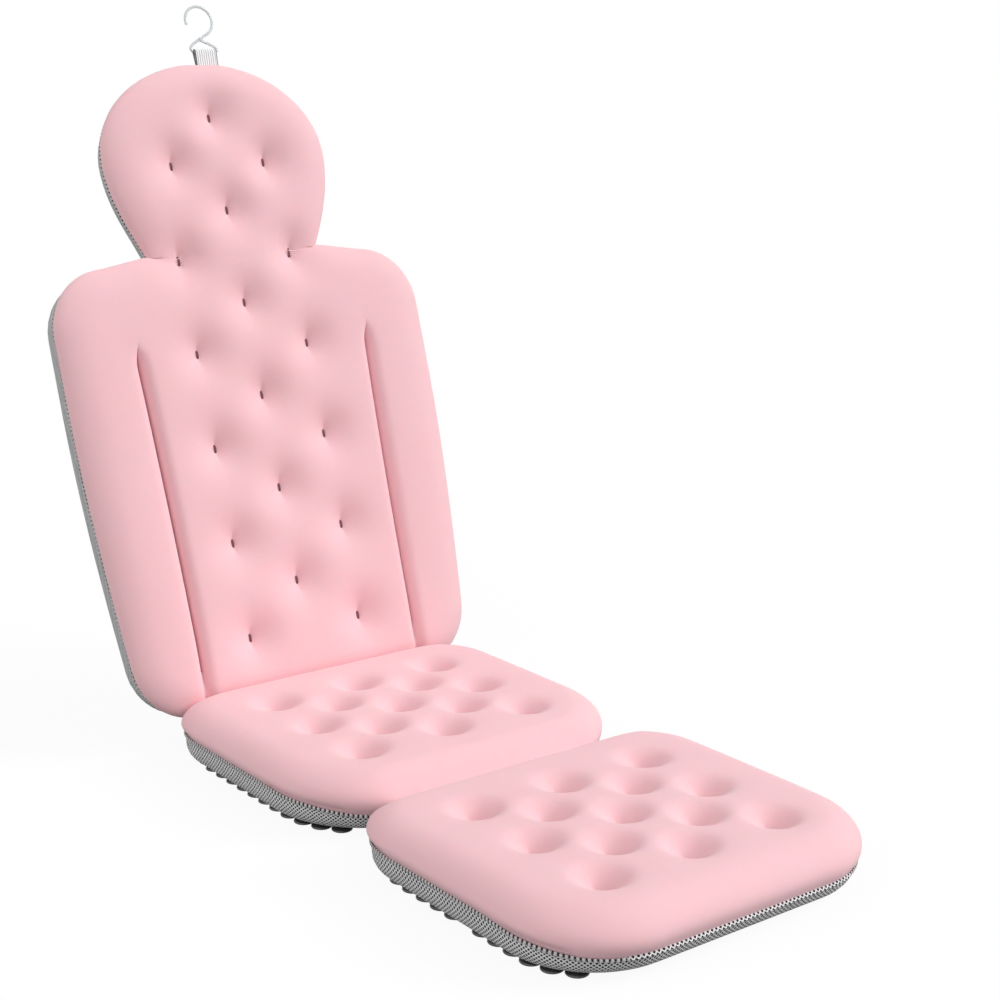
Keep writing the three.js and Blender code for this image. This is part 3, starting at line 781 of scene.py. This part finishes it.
def swollen(quilting, top, held):
    """Moves of the cloth's points when it is inflated, evened out and none longer than allowed."""
    cushion = quilting.cushion
    piece = cushion.piece("cloth", top.reshape(-1, 3), grid_faces(numbered(*top.shape[:2])), None)
    start = np.array([vertex.co for vertex in piece.data.vertices])
    group = piece.vertex_groups.new(name="sewn")
    group.add(np.nonzero(held)[0].tolist(), 1.0, "REPLACE")
    cloth = piece.modifiers.new("swell", "CLOTH")
    for setting, value in SWELL.items():
        setattr(cloth.settings, setting, value)
    cloth.settings.effector_weights.gravity = 0
    cloth.collision_settings.use_collision = False
    cloth.point_cache.frame_start = 1
    cloth.point_cache.frame_end = SWELL_FRAMES
    for number in range(1, SWELL_FRAMES + 1):
        scene.frame_set(number)
    shown = piece.evaluated_get(bpy.context.evaluated_depsgraph_get())
    move = np.array([vertex.co for vertex in shown.data.vertices]) - start
    scene.frame_set(1)
    bpy.data.objects.remove(piece)
    far = np.linalg.norm(move, axis=1, keepdims=True)
    move *= np.minimum(1, MOST_SWELL / np.maximum(far, LEAST))
    move = (move @ np.array(cushion.matrix.to_3x3())).reshape(top.shape)
    held = held.reshape(top.shape[:2])
    for _ in range(SMOOTH_PASSES):
        for axis in (0, 1):
            move = (np.roll(move, 1, axis) + 2 * move + np.roll(move, -1, axis)) / 4
        move[held] = 0
    return move


def quilted_top(quilting, finish):
    """The whole top: its surface, the low rim in the seam and the flat underside."""
    cushion = quilting.cushion
    top, flat, edge = quilting.surface()
    top = top + swollen(quilting, top, quilting.sewn(flat, edge))
    rows, columns = top.shape[:2]
    index = numbered(rows, columns)
    border = border_of(index)
    count = len(border)
    outer = border_of(cushion.grid(quilting.rows, quilting.shares))
    inner = border_of(cushion.grid(quilting.rows, quilting.shares, MESH_THICKNESS))
    level = SEAM_HEIGHT + SEAM_GAP / 2
    sag = cushion.sag(outer)
    rims = ((outer, level - sag), (inner, level - np.maximum(0, sag)), (inner, np.full(count, level)))
    rings = [np.column_stack(rim) for rim in rims]
    loops = [border, *(index.size + numbered(len(rings), count))]
    below = loops[-1]
    faces = grid_faces(index).tolist() + skin(loops)
    right = columns - 1
    left = count - 1
    for row in range(1, rows - 2):
        near, far = right + row, left - row + 1
        faces.append([int(below[k]) for k in (near, far, far - 1, near + 1)])
    faces.append([int(k) for k in below[right + 1::-1]] + [int(below[left])])
    faces.append([int(k) for k in below[left - rows + 3:right + rows - 3:-1]])
    piece = cushion.piece("quilting", np.vstack([top.reshape(-1, 3), *rings]), faces, finish)
    finer = piece.modifiers.new("finer", "SUBSURF")
    finer.levels = 1
    finer.render_levels = 1
    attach(piece, cushion.body)
    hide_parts(f"{cushion.name}_cushion_top")
    return top.reshape(-1, 3)


def pink_fabric():
    """Brushed knit: a fine soft nap over close rows of loops, and a slightly uneven dye."""
    finish = Finish(
        "pink_fabric", Roughness=0.85, Sheen_Weight=0.15, Sheen_Roughness=0.5, Specular_IOR_Level=0.15,
        Subsurface_Weight=0.2, Subsurface_Scale=0.005,
    )
    cloud = finish.noise(9.0, 3.0)
    nap = finish.noise(1100.0)
    across = finish.node("SeparateXYZ", sockets={0: finish.place()})
    loops = across.waves(LOOP_PITCH) * across.other(2).waves(LOOP_PITCH)
    dyed = finish.mix(cloud, colour("f4c6cb"), colour("f7cdd3"))
    shade = finish.mix(nap * 0.35, dyed, colour("efb7bd"))
    return finish.painted(shade, raised=nap * 0.6 + loops * 0.4, depth=NAP_RELIEF, strength=0.4)


QUILTINGS = [
    Quilting(
        seat, SEAT_TUFT_ALONG / TUFT_ROWS, SEAT_LENGTH / 2,
        lambda row: square_columns(SEAT_TUFT_ACROSS, SEAT_HALF_WIDTH),
        CROWN_RISE, TUFT_BOWL, [(0.0, LEG_FOLD_SLOPE), (SEAT_LENGTH, BACK_FOLD_SLOPE)],
    ),
    Quilting(
        leg, LEG_TUFT_ALONG / TUFT_ROWS, LEG_LENGTH / 2 - LEG_TUFT_SHIFT,
        lambda row: square_columns(LEG_TUFT_ACROSS, LEG_HALF_WIDTH),
        CROWN_RISE, TUFT_BOWL, [(LEG_LENGTH, LEG_FOLD_SLOPE)],
    ),
    Quilting(
        back, BACK_TUFT_PITCH / BACK_PITCH_ROWS, BACK_TUFT_FIRST, back_columns,
        BACK_CROWN_RISE, BACK_TUFT_BOWL, [(0.0, BACK_FOLD_SLOPE)], has_channels=True,
    ),
]
fabric = pink_fabric()
tops = {quilting.cushion.name: quilted_top(quilting, fabric) for quilting in QUILTINGS}


# Tuft ties and channel stitches
# At each tuft three turns of strong thread hold the quilting down and come out again under the mesh.
# A row of small running stitches closes each channel of the back.

UP = (0.0, 0.0, 1.0)
TIE_THREAD = 0.0004
TIE_SPACING = 0.0009
TIE_RISE = 0.0009
TIE_LIFT = 0.0022
TIE_ARCH = (0.5, 1.2, 7)
STITCH_LENGTH = 0.0048
STITCH_PITCH = 0.0055
STITCH_THREAD = 0.00045
STITCH_LIFT = 0.0009
STITCH_ARCH = (1.0, 3.0, 5)
THREAD_RELIEF = 0.0002


def round_section(radius, corners=6):
    turns = np.linspace(0, 2 * np.pi, corners, endpoint=False)
    return radius * np.stack([np.cos(turns), np.sin(turns)], 1)


def tube(rings, closed=False):
    """Points and faces of a body through rings of points, closed by a face at each end or into a loop."""
    index = numbered(*rings.shape[:2])
    ends = [] if closed else [index[0].tolist(), index[-1, ::-1].tolist()]
    return rings.reshape(-1, 3), skin([*index, index[0]] if closed else index) + ends


def swept(path, normal, section, closed=False, widths=1.0):
    """A section carried along a flat path, scaled by widths; the normal is square to the path's plane."""
    ahead = unit(np.roll(path, -1, 0) - np.roll(path, 1, 0) if closed else np.gradient(path, axis=0))
    outward = np.cross(ahead, normal)
    section = np.asarray(section) * np.broadcast_to(widths, len(path))[:, None, None]
    points = path[:, None] + section[:, :, :1] * outward[:, None] + section[:, :, 1:] * np.asarray(normal)
    return tube(points, closed)


def together(parts):
    """Several bodies as one list of points and one of faces."""
    points = np.vstack([part_points for part_points, _ in parts])
    faces = []
    start = 0
    for part_points, part_faces in parts:
        faces += [[i + start for i in face] for face in part_faces]
        start += len(part_points)
    return points, faces


def height_at(top, x, y):
    """Height of a quilted surface at a place on the plan."""
    return top[np.argmin((top[:, 0] - x) ** 2 + (top[:, 1] - y) ** 2), 2]


def arched(length, height, shape):
    """Places along a stitch and its heights; the shape is its rise, its dive and its number of points."""
    rise, dive, stations = shape
    shares = np.linspace(-1, 1, stations)
    return shares * length / 2, height * (rise - dive * shares ** 2)


def tie(x, y, z, rise, along):
    """Three threads side by side that rise out of the fabric and dive back into it."""
    across = np.array([along[1], -along[0], 0.0])
    places, heights = arched(TIE_LENGTH, rise, TIE_ARCH)
    threads = []
    for number in (-1, 0, 1):
        path = np.array([x, y, z]) + number * TIE_SPACING * across + places[:, None] * np.array([*along, 0])
        path[:, 2] += heights
        threads.append(swept(path, across, round_section(TIE_THREAD)))
    return threads


def sewing_thread():
    """Twisted polyester thread, painted much darker than the fabric so that it also stands in for the shade
    in the tuft slits and channel creases.
    """
    finish = Finish("sewing_thread", Roughness=0.6, Specular_IOR_Level=0.4)
    twist = finish.noise(1500.0)
    # partly the thread's own colour and partly painted shade of the slits and creases it lies in
    shade = finish.mix(twist, colour("6f444b"), colour("9a646d"))
    return finish.painted(shade, raised=twist, depth=THREAD_RELIEF)


thread = sewing_thread()
for cushion in CUSHIONS:
    top = tops[cushion.name]
    threads = []
    for x, y in TUFTS[cushion.name]:
        threads += tie(x, y, height_at(top, x, y) + TIE_LIFT, TIE_RISE, (0.0, 1.0))
        threads += tie(x, y, UNDERSIDE_PULL, -TIE_RISE, (1.0, 0.0))
    ties = cushion.piece("tuft_ties", *together(threads), thread)
    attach(ties, cushion.body)

stitches = []
stitch_places, stitch_heights = arched(STITCH_LENGTH, STITCH_THREAD, STITCH_ARCH)
for middle in np.arange(STITCH_PITCH, CHANNEL_LENGTH - CHANNEL_FADE, STITCH_PITCH):
    for side in (-1, 1):
        y = middle + stitch_places
        x = side * channel_at(y)
        z = np.array([height_at(tops["back"], a, b) for a, b in zip(x, y)]) + STITCH_LIFT + stitch_heights
        stitches.append(swept(np.stack([x, y, z], 1), (1.0, 0.0, 0.0), round_section(STITCH_THREAD)))
channel_stitches = back.piece("channel_stitches", *together(stitches), thread)
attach(channel_stitches, back.body)


# Edge seams
# An overlocked seam joins the quilting to the mesh round each cushion: a thin binding, painted near black as
# the shade between the stitches, with pale thread wrapped over it, so that small dark dots show between
# them.

BINDING_OUT = 0.0007
BINDING_HALF_HEIGHT = 0.0008
OVERLOCK_PITCH = 0.0042
OVERLOCK_THREAD = 0.0008
OVERLOCK_WIDTH = 0.0028
OVERLOCK_TURN = 80.0
TAPE_SIDES = 8
TAPE_RIB_PITCH = 0.0008
SEAM_RELIEF = 0.0003


def binding_tape():
    """Woven tape with a fine rib across it, painted near black as the shade in the gaps between the overlock
    stitches.
    """
    finish = Finish("binding_tape", Roughness=0.85, Specular_IOR_Level=0.2)
    rib = finish.unrolled().waves(TAPE_RIB_PITCH)
    # painted shade: the near-black tape shows only in the gaps between the pale stitches
    shade = finish.mix(rib, colour("2b292a"), colour("4a4748"))
    return finish.painted(shade, raised=rib, depth=SEAM_RELIEF)


def overlock_thread():
    """Fluffy pale thread in the grey of the mesh."""
    finish = Finish("overlock_thread", Roughness=0.8, Specular_IOR_Level=0.2)
    fluff = finish.noise(900.0)
    shade = finish.mix(fluff, colour("c4c0c1"), colour("dedbdc"))
    return finish.painted(shade, raised=fluff, depth=SEAM_RELIEF)


shaded_tape = binding_tape()
pale_thread = overlock_thread()
tape_section = round_section(1.0, TAPE_SIDES) * [BINDING_OUT, BINDING_HALF_HEIGHT]
flat_thread = round_section(0.5) * [OVERLOCK_THREAD, OVERLOCK_WIDTH]
wrap_turns = np.radians(np.linspace(-OVERLOCK_TURN, OVERLOCK_TURN, 5))
for cushion in CUSHIONS:
    rows = cushion.rows()
    loop = cushion.outline(rows, -BINDING_OUT)
    heights = SEAM_HEIGHT - cushion.sag(cushion.outline(rows))
    points, faces = swept(np.column_stack([loop, heights]), UP, tape_section, closed=True)
    round_loop = np.vstack([loop, loop[:1]])
    run = run_along(round_loop)
    places = unrolled_skin(run, np.arange(TAPE_SIDES + 1))
    binding = cushion.piece("binding", points, faces, shaded_tape, places)
    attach(binding, cushion.body)
    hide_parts(f"{cushion.name}_edge_seam")

    along = np.linspace(0, run[-1], round(run[-1] / OVERLOCK_PITCH), endpoint=False)
    spots = np.stack([np.interp(along, run, round_loop[:, axis]) for axis in (0, 1)], 1)
    levels = np.interp(along, run, [*heights, heights[0]])
    wraps = []
    for spot, level, normal in zip(spots, levels, turned_normals(spots)):
        reach = (BINDING_OUT + OVERLOCK_THREAD / 4) * np.cos(wrap_turns)
        rise = level + (BINDING_HALF_HEIGHT + OVERLOCK_THREAD) * np.sin(wrap_turns)
        arc = np.column_stack([spot + reach[:, None] * normal, rise])
        wraps.append(swept(arc, (-normal[1], normal[0], 0.0), flat_thread))
    overlock = cushion.piece("overlock", *together(wraps), pale_thread)
    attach(overlock, cushion.body)


# Sewn folds
# A narrow band of the pink fabric joins each two cushions at their seams. It is gathered a little and sewn
# along its middle, where the mat folds.

FOLD_REACH = 0.0024
FOLD_THICKNESS = 0.0009
FOLD_DIP = 0.0008
GATHER_PITCH = 0.0065
GATHER_RISE = 0.00025
FOLD_STATIONS = 161
FOLD_STITCH_ARCH = (0.8, 2.0, 5)
REAR_FOLD_HALF = SEAT_HALF_WIDTH - SEAT_CORNERS[1]


def fold_section(turn):
    """Middle line of the band across the fold, from one seam through the dip to the other."""
    start = np.array([-FOLD_REACH, 0.0])
    end = FOLD_REACH * np.array([np.cos(turn), np.sin(turn)])
    inner = start + end
    dip = -FOLD_DIP * inner / np.linalg.norm(inner) if turn else np.array([0.0, -FOLD_DIP])
    shares = np.linspace(0, 1, 9)[:, None]
    return (1 - shares) ** 2 * start + 2 * shares * (1 - shares) * dip + shares ** 2 * end


def left_of(line):
    """Directions square to an open flat line, on its left."""
    ahead = unit(np.gradient(line, axis=0))
    return np.stack([-ahead[:, 1], ahead[:, 0]], 1)


def add_fold(name, fold, half_length, turn):
    """The band and its two rows of stitches, turned by the angle between the two cushions."""
    line = fold_section(turn)
    square = left_of(line)
    ring = np.vstack([line - square * FOLD_THICKNESS / 2, (line + square * FOLD_THICKNESS / 2)[::-1]])
    stations = np.linspace(-half_length, half_length, FOLD_STATIONS)
    gather = GATHER_RISE * np.sin(stations * 2 * np.pi / GATHER_PITCH)
    rings = np.array([[(x, y, z + lift) for y, z in ring] for x, lift in zip(stations, gather)])
    band = new_piece(f"{name}_band", *tube(rings), fabric, moved(*fold))
    seams = []
    middle, inward = line[len(line) // 2], square[len(line) // 2]
    places, heights = arched(STITCH_LENGTH, STITCH_THREAD, FOLD_STITCH_ARCH)
    for x in np.arange(-half_length + STITCH_PITCH, half_length, STITCH_PITCH):
        for side in (-1, 1):
            rise = FOLD_THICKNESS / 2 + heights + np.interp(x + places, stations, gather) * side
            path = np.column_stack([x + places, middle + side * rise[:, None] * inward])
            seams.append(swept(path, (0.0, inward[1], -inward[0]), round_section(STITCH_THREAD)))
    seam = new_piece(f"{name}_stitches", *together(seams), thread, moved(*fold))
    for piece in (band, seam):
        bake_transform(piece)
    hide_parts(f"{name}_web", f"{name}_leaf")


upright = np.radians(90 - BACK_LEAN)
add_fold("back_fold", BACK_FOLD, REAR_FOLD_HALF, upright)
add_fold("leg_fold", LEG_FOLD, FRONT_FOLD_HALF, 0.0)


# Suction cups
# Strips of smoky soft vinyl, each moulded in one with six hollow cups, are sewn under both sides of the seat
# and the leg rest. The cups grip the floor of the bath.

CUP_RADIUS = 0.0095
CUP_WAIST = 0.0034
CUP_WALL = 0.0009
CUP_HOLLOW = 0.0026
CUP_PITCH = 0.0196
CUPS_PER_STRIP = 6
CUP_INSET = 0.021
STRIP_WIDTH = 0.013
STRIP_THICKNESS = 0.0014
STRIP_ROUNDING = 0.0005
STRIP_GAPS = ((seat, 0.0098), (leg, 0.0185))
STRIP_STATIONS = 40
CUP_SIDES = 28
HOLLOW_TURNS = np.radians(np.linspace(5, 90, 8))
BELL_TURNS = np.radians(np.linspace(0, 85, 8))
SCUFF_RELIEF = 0.0001


def suction_cup():
    """A thin bell with a rounded lip, on a short stem that stands in the strip, turned about its axis."""
    lip = CUP_WALL / 2
    bell_rise = CUP_HEIGHT - lip - STRIP_THICKNESS - CUP_WALL
    inside = CUP_RADIUS - CUP_WALL
    profile = [(inside * np.sin(turn), -CUP_HEIGHT + CUP_HOLLOW * np.cos(turn)) for turn in HOLLOW_TURNS]
    profile.append((CUP_RADIUS - CUP_WALL / 3, -CUP_HEIGHT))
    for turn in BELL_TURNS:
        radius = CUP_WAIST + (CUP_RADIUS - CUP_WAIST) * np.cos(turn)
        profile.append((radius, -CUP_HEIGHT + lip + bell_rise * np.sin(turn)))
    profile.append((CUP_WAIST, -STRIP_THICKNESS / 2))
    circle = round_section(1.0, CUP_SIDES)
    return tube(np.array([[(x, y, height) for x, y in radius * circle] for radius, height in profile]))


def cup_places(cushion, side, end, distances):
    """Places under one side of a cushion, at distances from the middle of that side towards one end."""
    rows = cushion.rows()
    right = cushion.outline(rows, CUP_INSET)[:len(rows)]
    middle = cushion.length / 2
    path = right[(right[:, 1] - middle) * end > 0][::end]
    path = np.vstack([[np.interp(middle, right[:, 1], right[:, 0]), middle], path])
    x, y = (np.interp(distances, run_along(path), path[:, axis]) for axis in (0, 1))
    return np.stack([side * x, y, np.zeros(len(x))], 1)


def smoky_vinyl():
    """Glossy dark vinyl, a little cloudy, with fine scuffs."""
    finish = Finish("smoky_vinyl", Specular_IOR_Level=0.5, Coat_Weight=0.15, Coat_Roughness=0.15)
    cloud = finish.noise(120.0, 3.0)
    scuffs = finish.noise(700.0)
    shade = finish.mix(cloud, colour("29292b"), colour("404144"))
    return finish.painted(shade, roughness=scuffs * 0.2 + 0.18, raised=scuffs, depth=SCUFF_RELIEF)


vinyl = smoky_vinyl()
cup_points, cup_faces = suction_cup()
half_band = STRIP_WIDTH / 2
band_low = -SEAM_GAP - STRIP_THICKNESS
band_section = [
    (half_band, -SEAM_GAP), (-half_band, -SEAM_GAP), (-half_band, band_low + STRIP_ROUNDING),
    (-half_band + STRIP_ROUNDING, band_low), (half_band - STRIP_ROUNDING, band_low),
    (half_band, band_low + STRIP_ROUNDING),
]
for cushion, gap in STRIP_GAPS:
    for side_name, side in (("left", -1), ("right", 1)):
        for end_name, end in (("front", -1), ("rear", 1)):
            centres = cup_places(cushion, side, end, gap + CUP_PITCH * np.arange(CUPS_PER_STRIP))
            bodies = [(cup_points + centre, cup_faces) for centre in centres]
            reach = gap + CUP_PITCH * (CUPS_PER_STRIP - 1) + CUP_RADIUS
            path = cup_places(cushion, side, end, np.linspace(gap - CUP_RADIUS, reach, STRIP_STATIONS))
            bodies.append(swept(path, UP, band_section))
            strip = cushion.piece(f"cup_strip_{side_name}_{end_name}", *together(bodies), vinyl)
            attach(strip, cushion.body)
            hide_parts(f"{cushion.name}_cups_{side_name}_{end_name}")


# Hanging strap
# A loop of ribbed polyester webbing. Its two ends are sewn into the seam at the top of the head, and it goes
# round the foot bar of the hook.

STRAP_SHIFT = 0.014
STRAP_REACH = 0.020
STRAP_WIDTH = 0.025
STRAP_THICKNESS = 0.0012
STRAP_FOOT = 0.0184
HOOK_WIRE = 0.0015
RIB_PITCH = 0.0025
RIB_RISE = 0.0002
STRAP_COLUMNS = 101
# Where the painted edge shade starts and where it is full, from the middle of the strap
SHADED_EDGES = (STRAP_WIDTH / 2 - 0.0016, STRAP_WIDTH / 2 - 0.0006)
WEBBING_RELIEF = 0.0004

at_bar = back.matrix @ moved(STRAP_SHIFT, BACK_LENGTH + STRAP_REACH, SEAM_HEIGHT)


def ribbed_webbing():
    """Woven tape: raised pale ribs along it with grey between them, and painted shade along both edges."""
    finish = Finish("ribbed_webbing", Roughness=0.75, Specular_IOR_Level=0.3)
    across = finish.unrolled().other(1)
    ribs = across.waves(RIB_PITCH)
    weave = finish.noise(900.0)
    # painted shade: a darker grey band along both edges of the strap
    edge_shade = (across - STRAP_WIDTH / 2).math("ABSOLUTE").between(*SHADED_EDGES)
    pale = finish.mix(ribs.between(0.2, 0.7), colour("b9bbc0"), colour("fbfbfc"))
    shade = finish.mix(edge_shade, pale, colour("77797d"))
    return finish.painted(shade, raised=ribs * 0.7 + weave * 0.3, depth=WEBBING_RELIEF, strength=0.7)


ply = STRAP_THICKNESS / 2
bend = HOOK_WIRE + SEAM_GAP + ply
front_ply = [(ply + (bend - ply) * share, -STRAP_FOOT * (1 - share)) for share in np.linspace(0, 1, 9)]
rear_ply = [(-w, u) for w, u in front_ply[::-1]]
over_bar = [(bend * np.cos(t), bend * np.sin(t)) for t in np.radians(np.linspace(0, 180, 17))[1:-1]]
line = np.array(front_ply + over_bar + rear_ply)
right = -left_of(line)
across = np.linspace(0, STRAP_WIDTH, STRAP_COLUMNS)
rib = RIB_RISE * np.abs(np.sin(np.pi * across / RIB_PITCH))
layers = []
for side in (1, -1):
    away = side * (ply - RIB_RISE + rib)
    w, u = (line[:, None, axis] + right[:, None, axis] * away for axis in (0, 1))
    layers.append(np.stack([np.broadcast_to(across - STRAP_WIDTH / 2, w.shape), u, w], 2).reshape(-1, 3))
index = numbered(len(line), STRAP_COLUMNS)
front, border = grid_faces(index), border_of(index)
strap_faces = np.vstack([front, front[:, ::-1] + index.size, skin([border, border + index.size])])
places = np.stack(np.meshgrid(run_along(line), across, indexing="ij"), 2).reshape(-1, 2)
strap = new_piece(
    "hanging_loop", np.vstack(layers), strap_faces.tolist(), ribbed_webbing(), at_bar,
    np.vstack([places, places])[strap_faces.ravel()],
)
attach(strap, "back_rest")
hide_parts("hanging_strap")


# Hook
# One round rod of clear moulded plastic: a bow, a slanted shank, a foot bar in the strap and a short arm
# back to the shank.

BOW_RADIUS = 0.0152
BOW_HEIGHT = 0.0325
FOOT_HALF = 0.015
SHOULDER_RISE = 0.0065
ARM_RISE = 0.0045
JOIN_RISE = 0.013
BOW_TIP, BOW_SHANK = 190.0, -60.0
TIP_TURN = 1.45
ROD_SIDES = 14


def eased(corners):
    """Cuts the corners of an open line round in three passes, keeping its two ends."""
    for _ in range(3):
        near = 0.75 * corners[:-1] + 0.25 * corners[1:]
        far = 0.25 * corners[:-1] + 0.75 * corners[1:]
        corners = np.vstack([corners[:1], np.stack([near, far], 1).reshape(-1, 2), corners[-1:]])
    return corners


def clear_plastic():
    """Milky clear plastic with a faint flow pattern from the mould."""
    finish = Finish("clear_plastic", IOR=1.49, Transmission_Weight=0.55, Specular_IOR_Level=0.5)
    flow = finish.noise(60.0, 1.0)
    shade = finish.mix(flow, colour("d5dade"), colour("f2f5f7"))
    return finish.painted(shade, roughness=flow * 0.12 + 0.1)


bow_turns = np.radians(np.linspace(BOW_TIP, BOW_SHANK, 40))
bow = np.stack([BOW_RADIUS * np.cos(bow_turns), BOW_HEIGHT + BOW_RADIUS * np.sin(bow_turns)], 1)
shoulder = np.array([-FOOT_HALF, SHOULDER_RISE])
join = bow[-1] + (shoulder - bow[-1]) * (bow[-1, 1] - JOIN_RISE) / (bow[-1, 1] - SHOULDER_RISE)
shank_middle = (bow[-1] + shoulder) / 2
foot = eased(np.array([
    shank_middle, shoulder, [-FOOT_HALF, 0.0], [0.0, 0.0], [FOOT_HALF, 0.0], [FOOT_HALF, ARM_RISE], join,
]))
rod = np.vstack([bow, shank_middle[None], foot[1:]])
tip_turns = np.linspace(0, TIP_TURN, 6)[:0:-1]
tip = rod[0] + HOOK_WIRE * np.sin(tip_turns)[:, None] * unit(rod[:1] - rod[1:2])
widths = np.concatenate([np.cos(tip_turns), np.ones(len(rod))])
rod = np.vstack([tip, rod])
rod = np.column_stack([rod, np.zeros(len(rod))])
hook_body = swept(rod, UP, round_section(HOOK_WIRE, ROD_SIDES), widths=widths)
hook = new_piece("hook_rod", *hook_body, clear_plastic(), at_bar)
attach(hook, "hook")
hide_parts("hanging_hook")
